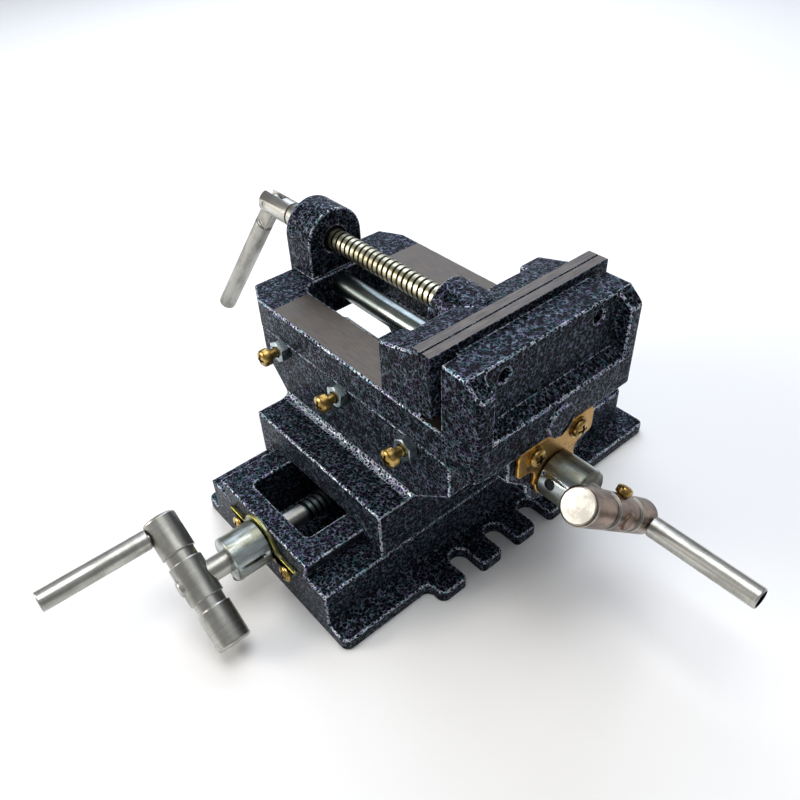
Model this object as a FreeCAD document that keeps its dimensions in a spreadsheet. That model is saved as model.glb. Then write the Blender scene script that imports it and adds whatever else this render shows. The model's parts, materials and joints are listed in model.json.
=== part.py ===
import FreeCAD, Part
import math
import os

import Sketcher

# Cross slide vise with 100 mm jaws, in millimetres.
#
# Origin: centre of the base's underside. +Z is up, +X runs from the clamp screw's head to
# the fixed jaw, +Y runs along the base away from the lower crank. The vise is drawn closed,
# with the saddle a little short of the base's middle and the bed drawn right back.

# Driving dimensions: name, value and meaning
SIZES = [
    # Base casting
    ("foot_half_length", 107.0, "foot, middle to end, along Y"),
    ("foot_half_width", 60.0, "foot, middle to side, along X"),
    ("foot_thickness", 7.0, "foot and lugs"),
    ("foot_corner", 4.0, "rounding of the foot's corners in plan"),
    ("body_half_width", 48.0, "base body and saddle plate, middle to side"),
    ("body_rear_inset", 8.0, "base body stops short of the foot at +Y"),
    ("body_corner", 5.0, "rounding of the base body's rear corners"),
    ("cast_fillet", 3.0, "fillets inside the castings"),
    ("cast_edge", 1.2, "rounding of the castings' outer edges"),
    ("lug_reach", 10.0, "lugs stand out of the foot's sides"),
    ("lug_half_length", 57.0, "lug, middle to end, along Y"),
    ("lug_middle", -1.0, "middle of the lugs along Y"),
    ("slot_count", 4.0, "open slots in each lug"),
    ("slot_pitch", 23.9, "from slot to slot"),
    ("slot_width", 10.4, "clear width of a slot"),
    ("slot_depth", 16.2, "from the lug's edge to the slot's root"),
    ("slot_mouth", 2.5, "rounding of the fingers between the slots"),
    ("lower_way", 28.0, "height of the base's slideways"),
    ("lower_dovetail_half", 36.0, "half width across the top of the base's dovetail"),
    ("lower_dovetail_rise", 9.5, "height of the base's dovetail"),
    ("lower_dovetail_cut", 3.0, "undercut of its flanks"),
    ("trough_half_width", 22.75, "trough in the base for the lower screw"),
    ("trough_floor", 8.0, "height of the trough's floor"),
    ("end_wall", 10.0, "walls at the trough's ends"),
    ("lower_axis", 26.0, "height of the lower lead screw"),
    # Lead screws, their thrust parts and fits
    ("lead_dia", 12.0, "outside diameter of the lead screws' thread"),
    ("stub_dia", 11.0, "shaft under the collar"),
    ("crank_seat_dia", 8.0, "shaft end in the crank bar, and tail journal"),
    ("flange_dia", 18.0, "thrust flange on the lead screw"),
    ("flange_thickness", 4.0, "thrust flange"),
    ("flange_clearance", 0.3, "radial room round the thrust flange"),
    ("tail_length", 6.0, "tail journal in the end wall"),
    ("running_gap", 0.05, "radial gap of shafts in their holes"),
    ("slide_gap", 0.1, "gap at dovetails and gibs"),
    ("end_float", 0.1, "thrust flange's float, in all"),
    ("turned_bevel", 1.0, "bevels on turned ends"),
    ("collar_dia", 22.0, "collar on the lead screw"),
    ("collar_length", 17.6, "collar on the lead screw"),
    ("collar_gap", 0.3, "from the retaining plate to the collar"),
    ("collar_screw_dia", 5.0, "set screw in the collar"),
    ("collar_screw_head_dia", 6.4, "head of the lower collar's set screw"),
    ("collar_screw_head", 3.0, "thickness of that head"),
    ("lower_collar_screw_place", 14.0, "lower set screw, from the collar's inner face"),
    ("upper_collar_screw_place", 6.0, "upper set screw, from the collar's inner face"),
    ("lower_collar_screw_turn", 180.0, "lower set screw's turn from upright, in degrees"),
    ("upper_collar_screw_turn", -70.0, "upper set screw's turn from upright, in degrees"),
    ("retainer_thickness", 2.0, "retaining plates"),
    # Cranks
    ("bar_dia", 16.0, "crank bar"),
    ("bar_half_length", 33.0, "crank bar, shaft to end"),
    ("bar_neck_dia", 14.0, "turned necks of the crank bar"),
    ("bar_neck_width", 4.8, "turned necks of the crank bar"),
    ("bar_neck_place", 12.0, "middle of a neck, from the shaft"),
    ("bar_seat_depth", 3.0, "spot face in the bar where the shaft's shoulder seats"),
    ("grip_throw", 27.0, "from the shaft to the grip's axis"),
    ("grip_dia", 9.5, "crank grip"),
    ("grip_length", 50.0, "crank grip"),
    ("grip_gap", 0.3, "between the bar and the grip"),
    ("grip_pin_dia", 5.0, "pin on which the grip turns"),
    ("grip_pin_head_dia", 7.6, "head of that pin, sunk in the grip's end"),
    ("grip_pin_head", 2.0, "thickness of that head"),
    ("crank_screw_dia", 4.0, "set screw in the crank bar"),
    ("crank_screw_head_dia", 6.8, "its head"),
    ("lower_crank_reach", 36.0, "lower crank bar's axis, from the base's end face"),
    ("upper_crank_reach", 32.8, "upper crank bar's axis, from the bed lug's face"),
    ("lower_crank_angle", 32.6, "lower grip end of the bar, above level, in degrees"),
    ("upper_crank_angle", -41.5, "upper grip end of the bar, above level, in degrees"),
    # Saddle casting
    ("slide_middle", -9.0, "saddle's middle along Y as drawn"),
    ("saddle_half_length", 65.7, "saddle plate, middle to end, along Y"),
    ("saddle_top", 54.5, "top of the saddle plate"),
    ("upper_way", 89.0, "top of the saddle's walls"),
    ("upper_half_width", 46.6, "saddle walls, bed and jaws, middle to side"),
    ("saddle_front", 71.3, "saddle walls' end at +X"),
    ("saddle_back", 64.0, "saddle walls' end at -X"),
    ("saddle_skirt", 72.0, "height where the walls' ends start to slope in"),
    ("saddle_channel_half", 24.0, "channel for the upper screw"),
    ("saddle_channel_floor", 58.0, "its floor"),
    ("upper_dovetail_half", 29.0, "half width at the root of the bed's dovetail"),
    ("upper_dovetail_drop", 7.7, "height of the bed's dovetail"),
    ("upper_dovetail_flare", 4.5, "its flanks' spread"),
    ("dovetail_clearance", 0.4, "room over or under a dovetail"),
    ("gib_thickness", 4.0, "gib strips, measured level"),
    ("gib_inset", 1.0, "gib strips stop short of the saddle's ends"),
    ("gib_screw_dia", 6.0, "gib screws"),
    ("gib_screw_head_dia", 8.6, "gib screws"),
    ("gib_screw_head", 5.0, "gib screws"),
    ("gib_screw_stand", 8.6, "from the casting to under the heads"),
    ("gib_head_bevel", 0.6, "bevel round those heads"),
    ("gib_screw_count", 3.0, "gib screws along each slide"),
    ("gib_nut_flats", 10.0, "lock nuts across flats"),
    ("gib_nut_thickness", 4.5, "lock nuts"),
    ("upper_gib_pitch", 46.5, "between the bed's gib screws"),
    ("upper_gib_middle", 1.0, "middle of the bed's gib screws along X"),
    ("lower_gib_pitch", 44.0, "between the saddle's gib screws"),
    # Feed nuts
    ("nut_half_width", 18.0, "feed nuts over their ears"),
    ("nut_core_half", 9.5, "feed nuts round the screw"),
    ("nut_ear", 6.0, "thickness of the ears"),
    ("nut_wall", 9.5, "from the screw's axis to the nut's free end"),
    ("nut_length", 22.0, "feed nuts along their screw"),
    ("nut_screw_dia", 5.0, "screws that hold the feed nuts"),
    ("nut_screw_head_dia", 8.0, "their heads"),
    ("nut_screw_head", 4.0, "their heads"),
    ("nut_screw_bite", 8.0, "length of thread in the casting"),
    ("nut_screw_sink", 1.0, "heads below the channel's floor"),
    ("upper_nut_place", 40.0, "middle of the upper feed nut along X"),
    ("upper_axis", 67.0, "height of the upper lead screw"),
    ("upper_tail", 62.0, "upper lead screw's free end, at -X"),
    # Bed casting with the fixed jaw
    ("bed_top", 104.5, "height of the vise's slideways"),
    ("bed_rear", 76.5, "bed's end at -X"),
    ("bed_front", 87.0, "bed's end at +X"),
    ("bed_corner_length", 13.0, "cut rear corners, along X"),
    ("bed_corner_width", 6.6, "cut rear corners, along Y"),
    ("window_half", 24.4, "window between the slideways"),
    ("window_rear", 58.0, "window's end at -X"),
    ("window_front", 62.0, "window's end at +X"),
    ("window_corner", 8.0, "rounding of its rear corners"),
    ("bed_dovetail_rear", 62.0, "dovetail's end at -X"),
    ("boss_rear", 80.0, "rear boss's end at -X"),
    ("boss_front", 60.0, "rear boss's face towards the jaws, at -X"),
    ("boss_radius", 16.0, "rear boss, half width and round top"),
    ("boss_foot", 81.0, "rear boss's lower end"),
    ("clamp_axis", 121.0, "height of the clamp screw"),
    ("rod_axis", 96.5, "height of the guide rod"),
    ("rod_dia", 12.0, "guide rod"),
    ("rod_seat", 18.0, "guide rod's length inside the bed's front"),
    ("rod_boss_radius", 8.0, "round boss in front of the guide rod"),
    ("rod_boss", 1.5, "how far that boss stands out"),
    ("lug_face", 84.7, "front face of the lug under the bed"),
    ("lug_back", 72.0, "its rear face"),
    ("lug_half_width", 27.0, "lug, middle to side"),
    ("lug_shoulder", 77.0, "height where the lug starts to narrow"),
    ("lug_radius", 15.5, "round lower end of the lug"),
    ("rim_height", 91.0, "lower edge of the bed's front rim"),
    ("jaw_back", 66.4, "fixed jaw casting, face behind the plate"),
    ("jaw_height", 137.5, "top of the fixed jaw casting"),
    ("jaw_crest", 79.5, "where the fixed jaw's top starts to fall"),
    ("jaw_fall", 6.5, "how far its pillars fall from there to the front"),
    ("recess_back", 80.0, "back wall of the front recess"),
    ("recess_floor_rise", 6.5, "its ledge at the back wall, over the slideways"),
    ("recess_lip_rise", 3.0, "its ledge at the front, over the slideways"),
    ("pillar_width", 8.0, "end pillars beside the recess"),
    ("jaw_seam", 59.7, "meeting plane of the closed jaws"),
    ("jaw_plate_thickness", 5.1, "hardened jaw plates"),
    ("jaw_plate_half", 50.0, "jaw plates, middle to end"),
    ("jaw_plate_lift", 7.5, "lower edge of the jaw plates, over the slideways"),
    ("jaw_plate_stand", 3.4, "upper edge of the jaw plates, over the fixed jaw"),
    ("jaw_seat_half", 38.0, "machined seat behind the fixed plate"),
    ("jaw_screw_dia", 6.0, "jaw plate screws"),
    ("jaw_screw_head_dia", 12.0, "their countersunk heads"),
    ("jaw_screw_place", 27.0, "jaw plate screws, from the middle"),
    ("jaw_screw_rise", 3.55, "fixed jaw's plate screws, over the plate's middle"),
    ("jaw_screw_length", 17.0, "jaw plate screws"),
    # Moving jaw
    ("moving_rear", 35.0, "moving jaw's rear face between the wings"),
    ("wing_rear", 30.4, "rear face of its end wings"),
    ("wing_inner", 33.0, "inner end of the wings, from the middle"),
    ("moving_rear_drop", 8.1, "its top at the wings' rear edge, under the fixed jaw's"),
    ("moving_front_drop", 1.5, "its top behind the plate, under the fixed jaw's"),
    ("way_gap", 0.1, "moving jaw over the slideways"),
    ("hub_rear", 22.0, "hub's rear face"),
    ("hub_front", 46.0, "where the hub merges with the jaw"),
    ("hub_radius", 13.5, "hub round the clamp screw's nose"),
    ("keel_front", 54.0, "keel's front face"),
    ("keel_foot", 88.0, "keel's lower face"),
    ("keel_gap", 0.2, "keel in the window, each side"),
    # Clamp screw, its pins and handle
    ("clamp_dia", 13.5, "clamp screw's thread, outside"),
    ("nose_dia", 10.0, "clamp screw's nose"),
    ("nose_end", 48.0, "nose's end along X"),
    ("nose_bore_end", 50.0, "bore's end along X"),
    ("nose_groove_dia", 6.4, "groove for the retaining pin"),
    ("retaining_pin_dia", 4.0, "pin that holds the screw in the jaw"),
    ("retaining_pin_place", 31.0, "its place along X"),
    ("retaining_pin_foot", 109.0, "its lower end"),
    ("retaining_pin_sink", 2.0, "its top below the hub's top"),
    ("head_dia", 13.0, "clamp screw's head"),
    ("head_end", 121.0, "head's end at -X"),
    ("head_ring", 96.0, "start of the turned neck in the head, at -X"),
    ("head_neck_dia", 10.8, "that neck"),
    ("head_neck_width", 1.6, "that neck"),
    ("head_start", 88.5, "head's end next to the thread, at -X"),
    ("fork_width", 5.2, "slot in the head"),
    ("fork_depth", 17.0, "slot in the head"),
    ("fork_pivot", 115.5, "handle pin along X, at -X"),
    ("fork_turn", -13.0, "the slot's turn about the screw, in degrees"),
    ("handle_pin_dia", 3.6, "handle pin"),
    ("tongue_width", 9.4, "flat tongue of the handle"),
    ("tongue_thickness", 4.9, "flat tongue of the handle"),
    ("tongue_length", 15.0, "from the pin to the round bar"),
    ("handle_dia", 10.0, "round bar of the handle"),
    ("handle_length", 91.0, "from the pin to the handle's end"),
    ("handle_tilt", 30.0, "handle's lean towards -X as drawn, in degrees"),
    # Retaining plates and their screws
    ("lower_retainer_half", 29.0, "lower retaining plate, middle to side"),
    ("lower_retainer_foot", 9.0, "its lower edge"),
    ("lower_retainer_wing", 27.0, "its wings' upper edge"),
    ("upper_retainer_half", 23.2, "upper retaining plate, middle to side"),
    ("upper_retainer_top", 90.8, "its upper edge"),
    ("upper_retainer_wing", 77.0, "its wings' lower edge"),
    ("retainer_hump", 13.2, "hump round the shaft"),
    ("retainer_corner", 3.0, "rounding of the plates' corners"),
    ("retainer_blend", 5.0, "sweep of the hump into the wings' edge"),
    ("lower_screw_place", 20.0, "lower plate's screws, from the middle"),
    ("lower_screw_height", 20.5, "lower plate's screws, height"),
    ("upper_screw_place", 13.1, "upper plate's screws, from the middle"),
    ("upper_screw_height", 84.5, "upper plate's screws, height"),
    ("plate_screw_dia", 5.0, "retaining plates' screws"),
    ("plate_screw_head_dia", 8.4, "their heads"),
    ("plate_screw_head", 2.4, "their heads"),
    ("plate_screw_length", 8.0, "under the head"),
    ("washer_dia", 10.0, "washers under the upper plate's screws"),
    ("washer_thickness", 0.8, "those washers"),
]


class Size:
    """A length with its number and the sheet expression that it comes from."""

    def __init__(self, value, text):
        self.value, self.text = float(value), text

    def __add__(self, other):
        other = as_size(other)
        return Size(self.value + other.value, f"({self.text} + {other.text})")

    def __sub__(self, other):
        other = as_size(other)
        return Size(self.value - other.value, f"({self.text} - {other.text})")

    def __mul__(self, other):
        other = as_size(other)
        return Size(self.value * other.value, f"({self.text} * {other.text})")

    def __truediv__(self, other):
        other = as_size(other)
        return Size(self.value / other.value, f"({self.text} / {other.text})")

    def __neg__(self):
        return Size(-self.value, f"(0 - {self.text})")

    def __radd__(self, other):
        return as_size(other) + self

    def __rsub__(self, other):
        return as_size(other) - self

    def __rmul__(self, other):
        return as_size(other) * self


def as_size(number):
    """A Size as it is, and a plain number as a Size."""
    return number if isinstance(number, Size) else Size(number, repr(float(number)))


doc = FreeCAD.newDocument("cross_slide_vise")


def fill_sheet():
    """Write the driving dimensions into the sheet, one row each."""
    sheet = doc.addObject("Spreadsheet::Sheet", "sizes")
    for row, (alias, value, meaning) in enumerate(SIZES, start=1):
        sheet.set(f"A{row}", alias)
        sheet.set(f"B{row}", repr(value))
        sheet.set(f"C{row}", meaning)
        sheet.setAlias(f"B{row}", alias)
    doc.recompute()


class Sheet:
    """Gives each named cell of the sheet as a Size."""

    def __getattr__(self, alias):
        return Size(getattr(doc.sizes, alias), f"sizes.{alias}")


fill_sheet()
s = Sheet()


# Shared operations


def bind(obj, **sizes):
    """Set properties, and tie those that are Sizes to the sheet."""
    for name, size in sizes.items():
        if isinstance(size, Size):
            setattr(obj, name, size.value)
            obj.setExpression(name, size.text)
        else:
            setattr(obj, name, size)


def place(obj, x=0, y=0, z=0, turn=None):
    """Put an object at x, y, z, with the turn given."""
    spot = [as_size(v) for v in (x, y, z)]
    obj.Placement = FreeCAD.Placement(
        FreeCAD.Vector(*[v.value for v in spot]), turn or FreeCAD.Rotation()
    )
    for axis, size in zip("xyz", spot):
        if "sizes." in size.text:
            obj.setExpression(f"Placement.Base.{axis}", size.text)


def about(axis, degrees):
    """A turn about a row axis."""
    return FreeCAD.Rotation(FreeCAD.Vector(*axis), degrees)


ALONG_X = None
ALONG_Y = about((0, 0, 1), 90)
DOWN = about((0, 1, 0), 90)
FACING_Y = about((0, 0, 1), 180)


def new_body(label):
    """An empty body that may hold several solids."""
    body = doc.addObject("PartDesign::Body", label)
    body.Label = label
    body.AllowCompound = True
    return body


def origin_part(body, role):
    """A plane or axis of a body's own origin."""
    return next(f for f in body.Origin.OriginFeatures if f.Role == role)


def sketch_on(body, plane, start):
    """An empty sketch parallel to an origin plane, start away along its normal."""
    sketch = body.newObject("Sketcher::SketchObject", "Profile")
    sketch.AttachmentSupport = (origin_part(body, f"{plane}_Plane"), [""])
    sketch.MapMode = "FlatFace"
    start = as_size(start)
    sketch.AttachmentOffset = FreeCAD.Placement(
        FreeCAD.Vector(0, 0, start.value), FreeCAD.Rotation()
    )
    sketch.setExpression("AttachmentOffset.Base.z", start.text)
    return sketch


def pin_down(sketch, geometry, end, x, y):
    """Hold a point of the sketch at x, y."""
    for kind, size in (("DistanceX", as_size(x)), ("DistanceY", as_size(y))):
        index = sketch.addConstraint(
            Sketcher.Constraint(kind, -1, 1, geometry, end, size.value)
        )
        sketch.setExpression(f"Constraints[{index}]", size.text)


def add_outline(sketch, points):
    """Add a closed straight-sided outline."""
    spots = [FreeCAD.Vector(as_size(x).value, as_size(y).value, 0) for x, y in points]
    first = sketch.GeometryCount
    count = len(spots)
    for i in range(count):
        sketch.addGeometry(Part.LineSegment(spots[i], spots[(i + 1) % count]))
    for i, (x, y) in enumerate(points):
        following = first + (i + 1) % count
        sketch.addConstraint(Sketcher.Constraint("Coincident", first + i, 2, following, 1))
        pin_down(sketch, first + i, 1, x, y)


def add_circle(sketch, x, y, radius):
    """Add a circle."""
    x, y, radius = as_size(x), as_size(y), as_size(radius)
    circle = Part.Circle(
        FreeCAD.Vector(x.value, y.value, 0), FreeCAD.Vector(0, 0, 1), radius.value
    )
    index = sketch.addGeometry(circle)
    pin_down(sketch, index, 3, x, y)
    size = sketch.addConstraint(Sketcher.Constraint("Radius", index, radius.value))
    sketch.setExpression(f"Constraints[{size}]", radius.text)


def box(x1, y1, x2, y2):
    """Corner points of a rectangle."""
    return [(x1, y1), (x2, y1), (x2, y2), (x1, y2)]


def drawn(body, plane, span, outlines, circles):
    """A sketch with outlines and circles, and the length that it is extruded."""
    low, high = [as_size(v) for v in span]
    # the normal of the XZ plane points along -Y
    start = -high if plane == "XZ" else low
    sketch = sketch_on(body, plane, start)
    for points in outlines:
        add_outline(sketch, points)
    for x, y, radius in circles:
        add_circle(sketch, x, y, radius)
    return sketch, high - low


def pad(body, plane, span, outlines=(), circles=()):
    """Extrude outlines and circles over a span of the third axis."""
    sketch, length = drawn(body, plane, span, outlines, circles)
    feature = body.newObject("PartDesign::Pad", "Pad")
    feature.Profile = sketch
    bind(feature, Length=length)
    doc.recompute()
    return feature


def cut(body, plane, span, outlines=(), circles=()):
    """Pocket outlines and circles over a span of the third axis."""
    before = body.Tip.Shape.Volume
    sketch, length = drawn(body, plane, span, outlines, circles)
    feature = body.newObject("PartDesign::Pocket", "Pocket")
    feature.Profile = sketch
    bind(feature, Length=length)
    feature.Reversed = True
    doc.recompute()
    if not feature.Shape.Volume < before:
        raise RuntimeError(f"{body.Label}: {feature.Name} cuts nothing")
    return feature


def repeat(body, features, axis, pitch, count):
    """Repeat features along an axis of the body."""
    pattern = body.newObject("PartDesign::LinearPattern", "Row")
    pattern.Originals = features
    pattern.Direction = (origin_part(body, f"{axis}_Axis"), [""])
    bind(pattern, Length=pitch * (count - 1), Occurrences=int(as_size(count).value))
    if isinstance(count, Size):
        pattern.setExpression("Occurrences", count.text)
    body.Tip = pattern
    doc.recompute()
    return pattern


def turned(body, stations, bore=None):
    """Revolve a profile about local X: stations are places along X with their radii."""
    start, end = stations[0][0], stations[-1][0]
    inner = 0 if bore is None else bore
    points = [(start, inner)] + list(stations) + [(end, inner)]
    sketch = sketch_on(body, "XY", 0)
    add_outline(sketch, points)
    feature = body.newObject("PartDesign::Revolution", "Turning")
    feature.Profile = sketch
    feature.ReferenceAxis = (sketch, ["H_Axis"])
    feature.Angle = 360
    doc.recompute()
    return feature


NEAR = 1e-3


def edges_along(direction, spots):
    """Test for straight edges along x, y or z that pass through spots in the other two axes."""
    others = [a for a in "xyz" if a != direction]
    spots = [tuple(as_size(v).value for v in spot) for spot in spots]

    def fits(edge):
        if len(edge.Vertexes) != 2:
            return False
        a, b = [v.Point for v in edge.Vertexes]
        if any(abs(getattr(a, o) - getattr(b, o)) > NEAR for o in others):
            return False
        return any(
            all(abs(getattr(a, o) - v) < NEAR for o, v in zip(others, spot)) for spot in spots
        )

    return fits


def circles_at(direction, level, radius):
    """Test for full circles of a radius whose centre lies at a level of x, y or z."""
    level, radius = as_size(level).value, as_size(radius).value

    def fits(edge):
        curve = edge.Curve
        return (
            isinstance(curve, Part.Circle)
            and abs(curve.Radius - radius) < NEAR
            and abs(getattr(curve.Center, direction) - level) < NEAR
        )

    return fits


def dress(body, kind, size, fits, name):
    """Fillet or chamfer the edges that pass the test."""
    base = body.Tip
    names = [f"Edge{i}" for i, edge in enumerate(base.Shape.Edges, start=1) if fits(edge)]
    if not names:
        raise RuntimeError(f"{body.Label}: no edge for {name}")
    feature = body.newObject(f"PartDesign::{kind}", name)
    feature.Base = (base, names)
    bind(feature, **{"Radius" if kind == "Fillet" else "Size": size})
    doc.recompute()
    return feature


def fillet(body, radius, fits, name="Rounding"):
    """Round the edges that pass the test."""
    return dress(body, "Fillet", radius, fits, name)


def chamfer(body, size, fits, name="Bevel"):
    """Bevel the edges that pass the test."""
    return dress(body, "Chamfer", size, fits, name)


# Places that several pieces share

base_front = -s.foot_half_length
base_rear = s.foot_half_length - s.body_rear_inset
lower_dovetail_top = s.lower_way + s.lower_dovetail_rise
lower_ceiling = lower_dovetail_top + s.dovetail_clearance
upper_dovetail_foot = s.upper_way - s.upper_dovetail_drop
upper_ledge = upper_dovetail_foot - s.dovetail_clearance
fixed_plate_back = s.jaw_seam + s.jaw_plate_thickness
moving_plate_back = s.jaw_seam - s.jaw_plate_thickness
jaw_plate_foot = s.bed_top + s.jaw_plate_lift
jaw_plate_top = s.jaw_height + s.jaw_plate_stand
jaw_plate_middle = (jaw_plate_foot + jaw_plate_top) / 2
fixed_screw_height = jaw_plate_middle + s.jaw_screw_rise
moving_screw_height = jaw_plate_middle - s.jaw_screw_rise
recess_lip = s.bed_top + s.recess_lip_rise
moving_rear_height = s.jaw_height - s.moving_rear_drop
moving_front_height = s.jaw_height - s.moving_front_drop
nut_screw_place = (s.nut_half_width + s.nut_core_half) / 2
gib_row_half = (s.gib_screw_count - 1) / 2
lead_hole = s.lead_dia / 2 + s.running_gap
rod_hole = s.rod_dia / 2 + s.running_gap
flange_recess = s.flange_thickness + s.end_float
flange_recess_radius = s.flange_dia / 2 + s.flange_clearance
OVER = 1.0  # how far a cut runs past a face
PAIR = 2


def lower_flank(height):
    """Half width of the base's dovetail at a height."""
    root = s.lower_dovetail_half - s.lower_dovetail_cut
    return root + s.lower_dovetail_cut * (height - s.lower_way) / s.lower_dovetail_rise


def upper_flank(height):
    """Half width of the bed's dovetail at a height."""
    return s.upper_dovetail_half + s.upper_dovetail_flare * (
        s.upper_way - height
    ) / s.upper_dovetail_drop


# Base


def base_casting():
    body = new_body("base_casting")
    lug_edge = s.foot_half_width + s.lug_reach
    lug_low, lug_high = s.lug_middle - s.lug_half_length, s.lug_middle + s.lug_half_length
    foot = box(-s.foot_half_width, base_front, s.foot_half_width, s.foot_half_length)
    pad(body, "XY", (0, s.foot_thickness), [foot])
    pad(body, "XY", (0, s.foot_thickness), [box(-lug_edge, lug_low, lug_edge, lug_high)])
    fillet(
        body,
        s.foot_corner,
        edges_along(
            "z",
            [(x, y) for x in (-s.foot_half_width, s.foot_half_width) for y in (lug_low, lug_high)]
            + [(x, y) for x in (-lug_edge, lug_edge) for y in (lug_low, lug_high)]
            + [(x, y) for x in (-s.foot_half_width, s.foot_half_width)
               for y in (base_front, s.foot_half_length)],
        ),
        "FootCorners",
    )
    block = box(-s.body_half_width, base_front, s.body_half_width, base_rear)
    pad(body, "XY", (0, s.lower_way), [block])
    fillet(
        body,
        s.body_corner,
        edges_along("z", [(-s.body_half_width, base_rear), (s.body_half_width, base_rear)]),
        "BodyCorners",
    )
    root, top = lower_flank(s.lower_way), s.lower_dovetail_half
    tail = [(-root, s.lower_way), (root, s.lower_way)]
    tail += [(top, lower_dovetail_top), (-top, lower_dovetail_top)]
    pad(body, "XZ", (base_front, base_rear), [tail])
    # open slots, one pair a row
    slot_end = lug_edge - s.slot_depth + s.slot_width / 2
    first = s.lug_middle - s.slot_pitch * (s.slot_count - 1) / 2
    half = s.slot_width / 2
    span = (-OVER, s.foot_thickness + OVER)
    mouths = [
        box(slot_end, first - half, lug_edge + OVER, first + half),
        box(-lug_edge - OVER, first - half, -slot_end, first + half),
    ]
    mouth = cut(body, "XY", span, mouths)
    roots = cut(body, "XY", span, circles=[(slot_end, first, half), (-slot_end, first, half)])
    repeat(body, [mouth, roots], "Y", s.slot_pitch, s.slot_count)
    places = [first + s.slot_pitch * n for n in range(int(s.slot_count.value))]
    fillet(
        body,
        s.slot_mouth,
        edges_along(
            "z",
            [(x, y + side) for x in (-lug_edge, lug_edge) for y in places for side in (half, -half)],
        ),
        "SlotMouths",
    )
    # trough, screw bearings and screw holes
    trough = box(
        -s.trough_half_width, base_front + s.end_wall, s.trough_half_width, base_rear - s.end_wall
    )
    cut(body, "XY", (s.trough_floor, lower_dovetail_top + OVER), [trough])
    fillet(
        body,
        s.cast_fillet,
        edges_along(
            "z",
            [(x, y) for x in (-s.trough_half_width, s.trough_half_width)
             for y in (base_front + s.end_wall, base_rear - s.end_wall)],
        ),
        "TroughCorners",
    )
    shaft = (0, s.lower_axis)
    cut(body, "XZ", (base_front, base_front + s.end_wall), circles=[(*shaft, lead_hole)])
    cut(body, "XZ", (base_front, base_front + flange_recess),
        circles=[(*shaft, flange_recess_radius)])
    tail_hole = s.crank_seat_dia / 2 + s.running_gap
    tail_span = (base_rear - s.end_wall, base_rear - s.end_wall + s.tail_length + OVER)
    cut(body, "XZ", tail_span, circles=[(*shaft, tail_hole)])
    screw_hole = s.plate_screw_dia / 2 + s.running_gap
    cut(
        body, "XZ", (base_front, base_front + s.plate_screw_length + OVER),
        circles=[(x, s.lower_screw_height, screw_hole)
                 for x in (-s.lower_screw_place, s.lower_screw_place)],
    )
    fillet(
        body,
        s.cast_fillet,
        edges_along(
            "y", [(x, s.foot_thickness) for x in (-s.body_half_width, s.body_half_width)]
        ),
        "BodyFoot",
    )
    place(body)


def retaining_plate(label, axis, half, far_edge, hump_edge, place_x, screw_height, spot, turn):
    """Pressed plate with two wings and a hump round the shaft, drawn facing -Y."""
    body = new_body(label)
    low, high = sorted((far_edge, hump_edge), key=lambda size: size.value)
    thick = (0, s.retainer_thickness)
    pad(body, "XZ", thick, [box(-half, low, half, high)])
    pad(body, "XZ", thick, circles=[(0, axis, s.retainer_hump)])
    fillet(
        body, s.retainer_corner, edges_along("y", [(x, z) for x in (-half, half) for z in (low, high)]),
        "PlateCorners",
    )
    reach = math.sqrt(s.retainer_hump.value ** 2 - (hump_edge - axis).value ** 2)
    fillet(
        body, s.retainer_blend, edges_along("y", [(x, hump_edge) for x in (-reach, reach)]),
        "HumpBlends",
    )
    clearance = s.plate_screw_dia / 2 + s.running_gap
    cut(
        body, "XZ", thick,
        circles=[(0, axis, s.stub_dia / 2 + s.collar_gap), (-place_x, screw_height, clearance),
                 (place_x, screw_height, clearance)],
    )
    place(body, **spot, turn=turn)


def plate_screws(label, half_pitch, spot, turn, lift):
    """Pair of cheese-head screws, drawn along X with the heads at -X and the face at 0."""
    body = new_body(label)
    head = s.plate_screw_head_dia / 2
    shank = s.plate_screw_dia / 2
    front = -s.retainer_thickness - lift
    screw = turned(
        body,
        [(front - s.plate_screw_head, head), (front, head), (front, shank),
         (front + s.plate_screw_length, shank)],
    )
    repeat(body, [screw], "Y", half_pitch * 2, PAIR)
    place(body, **spot, turn=turn)


# Saddle


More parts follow.
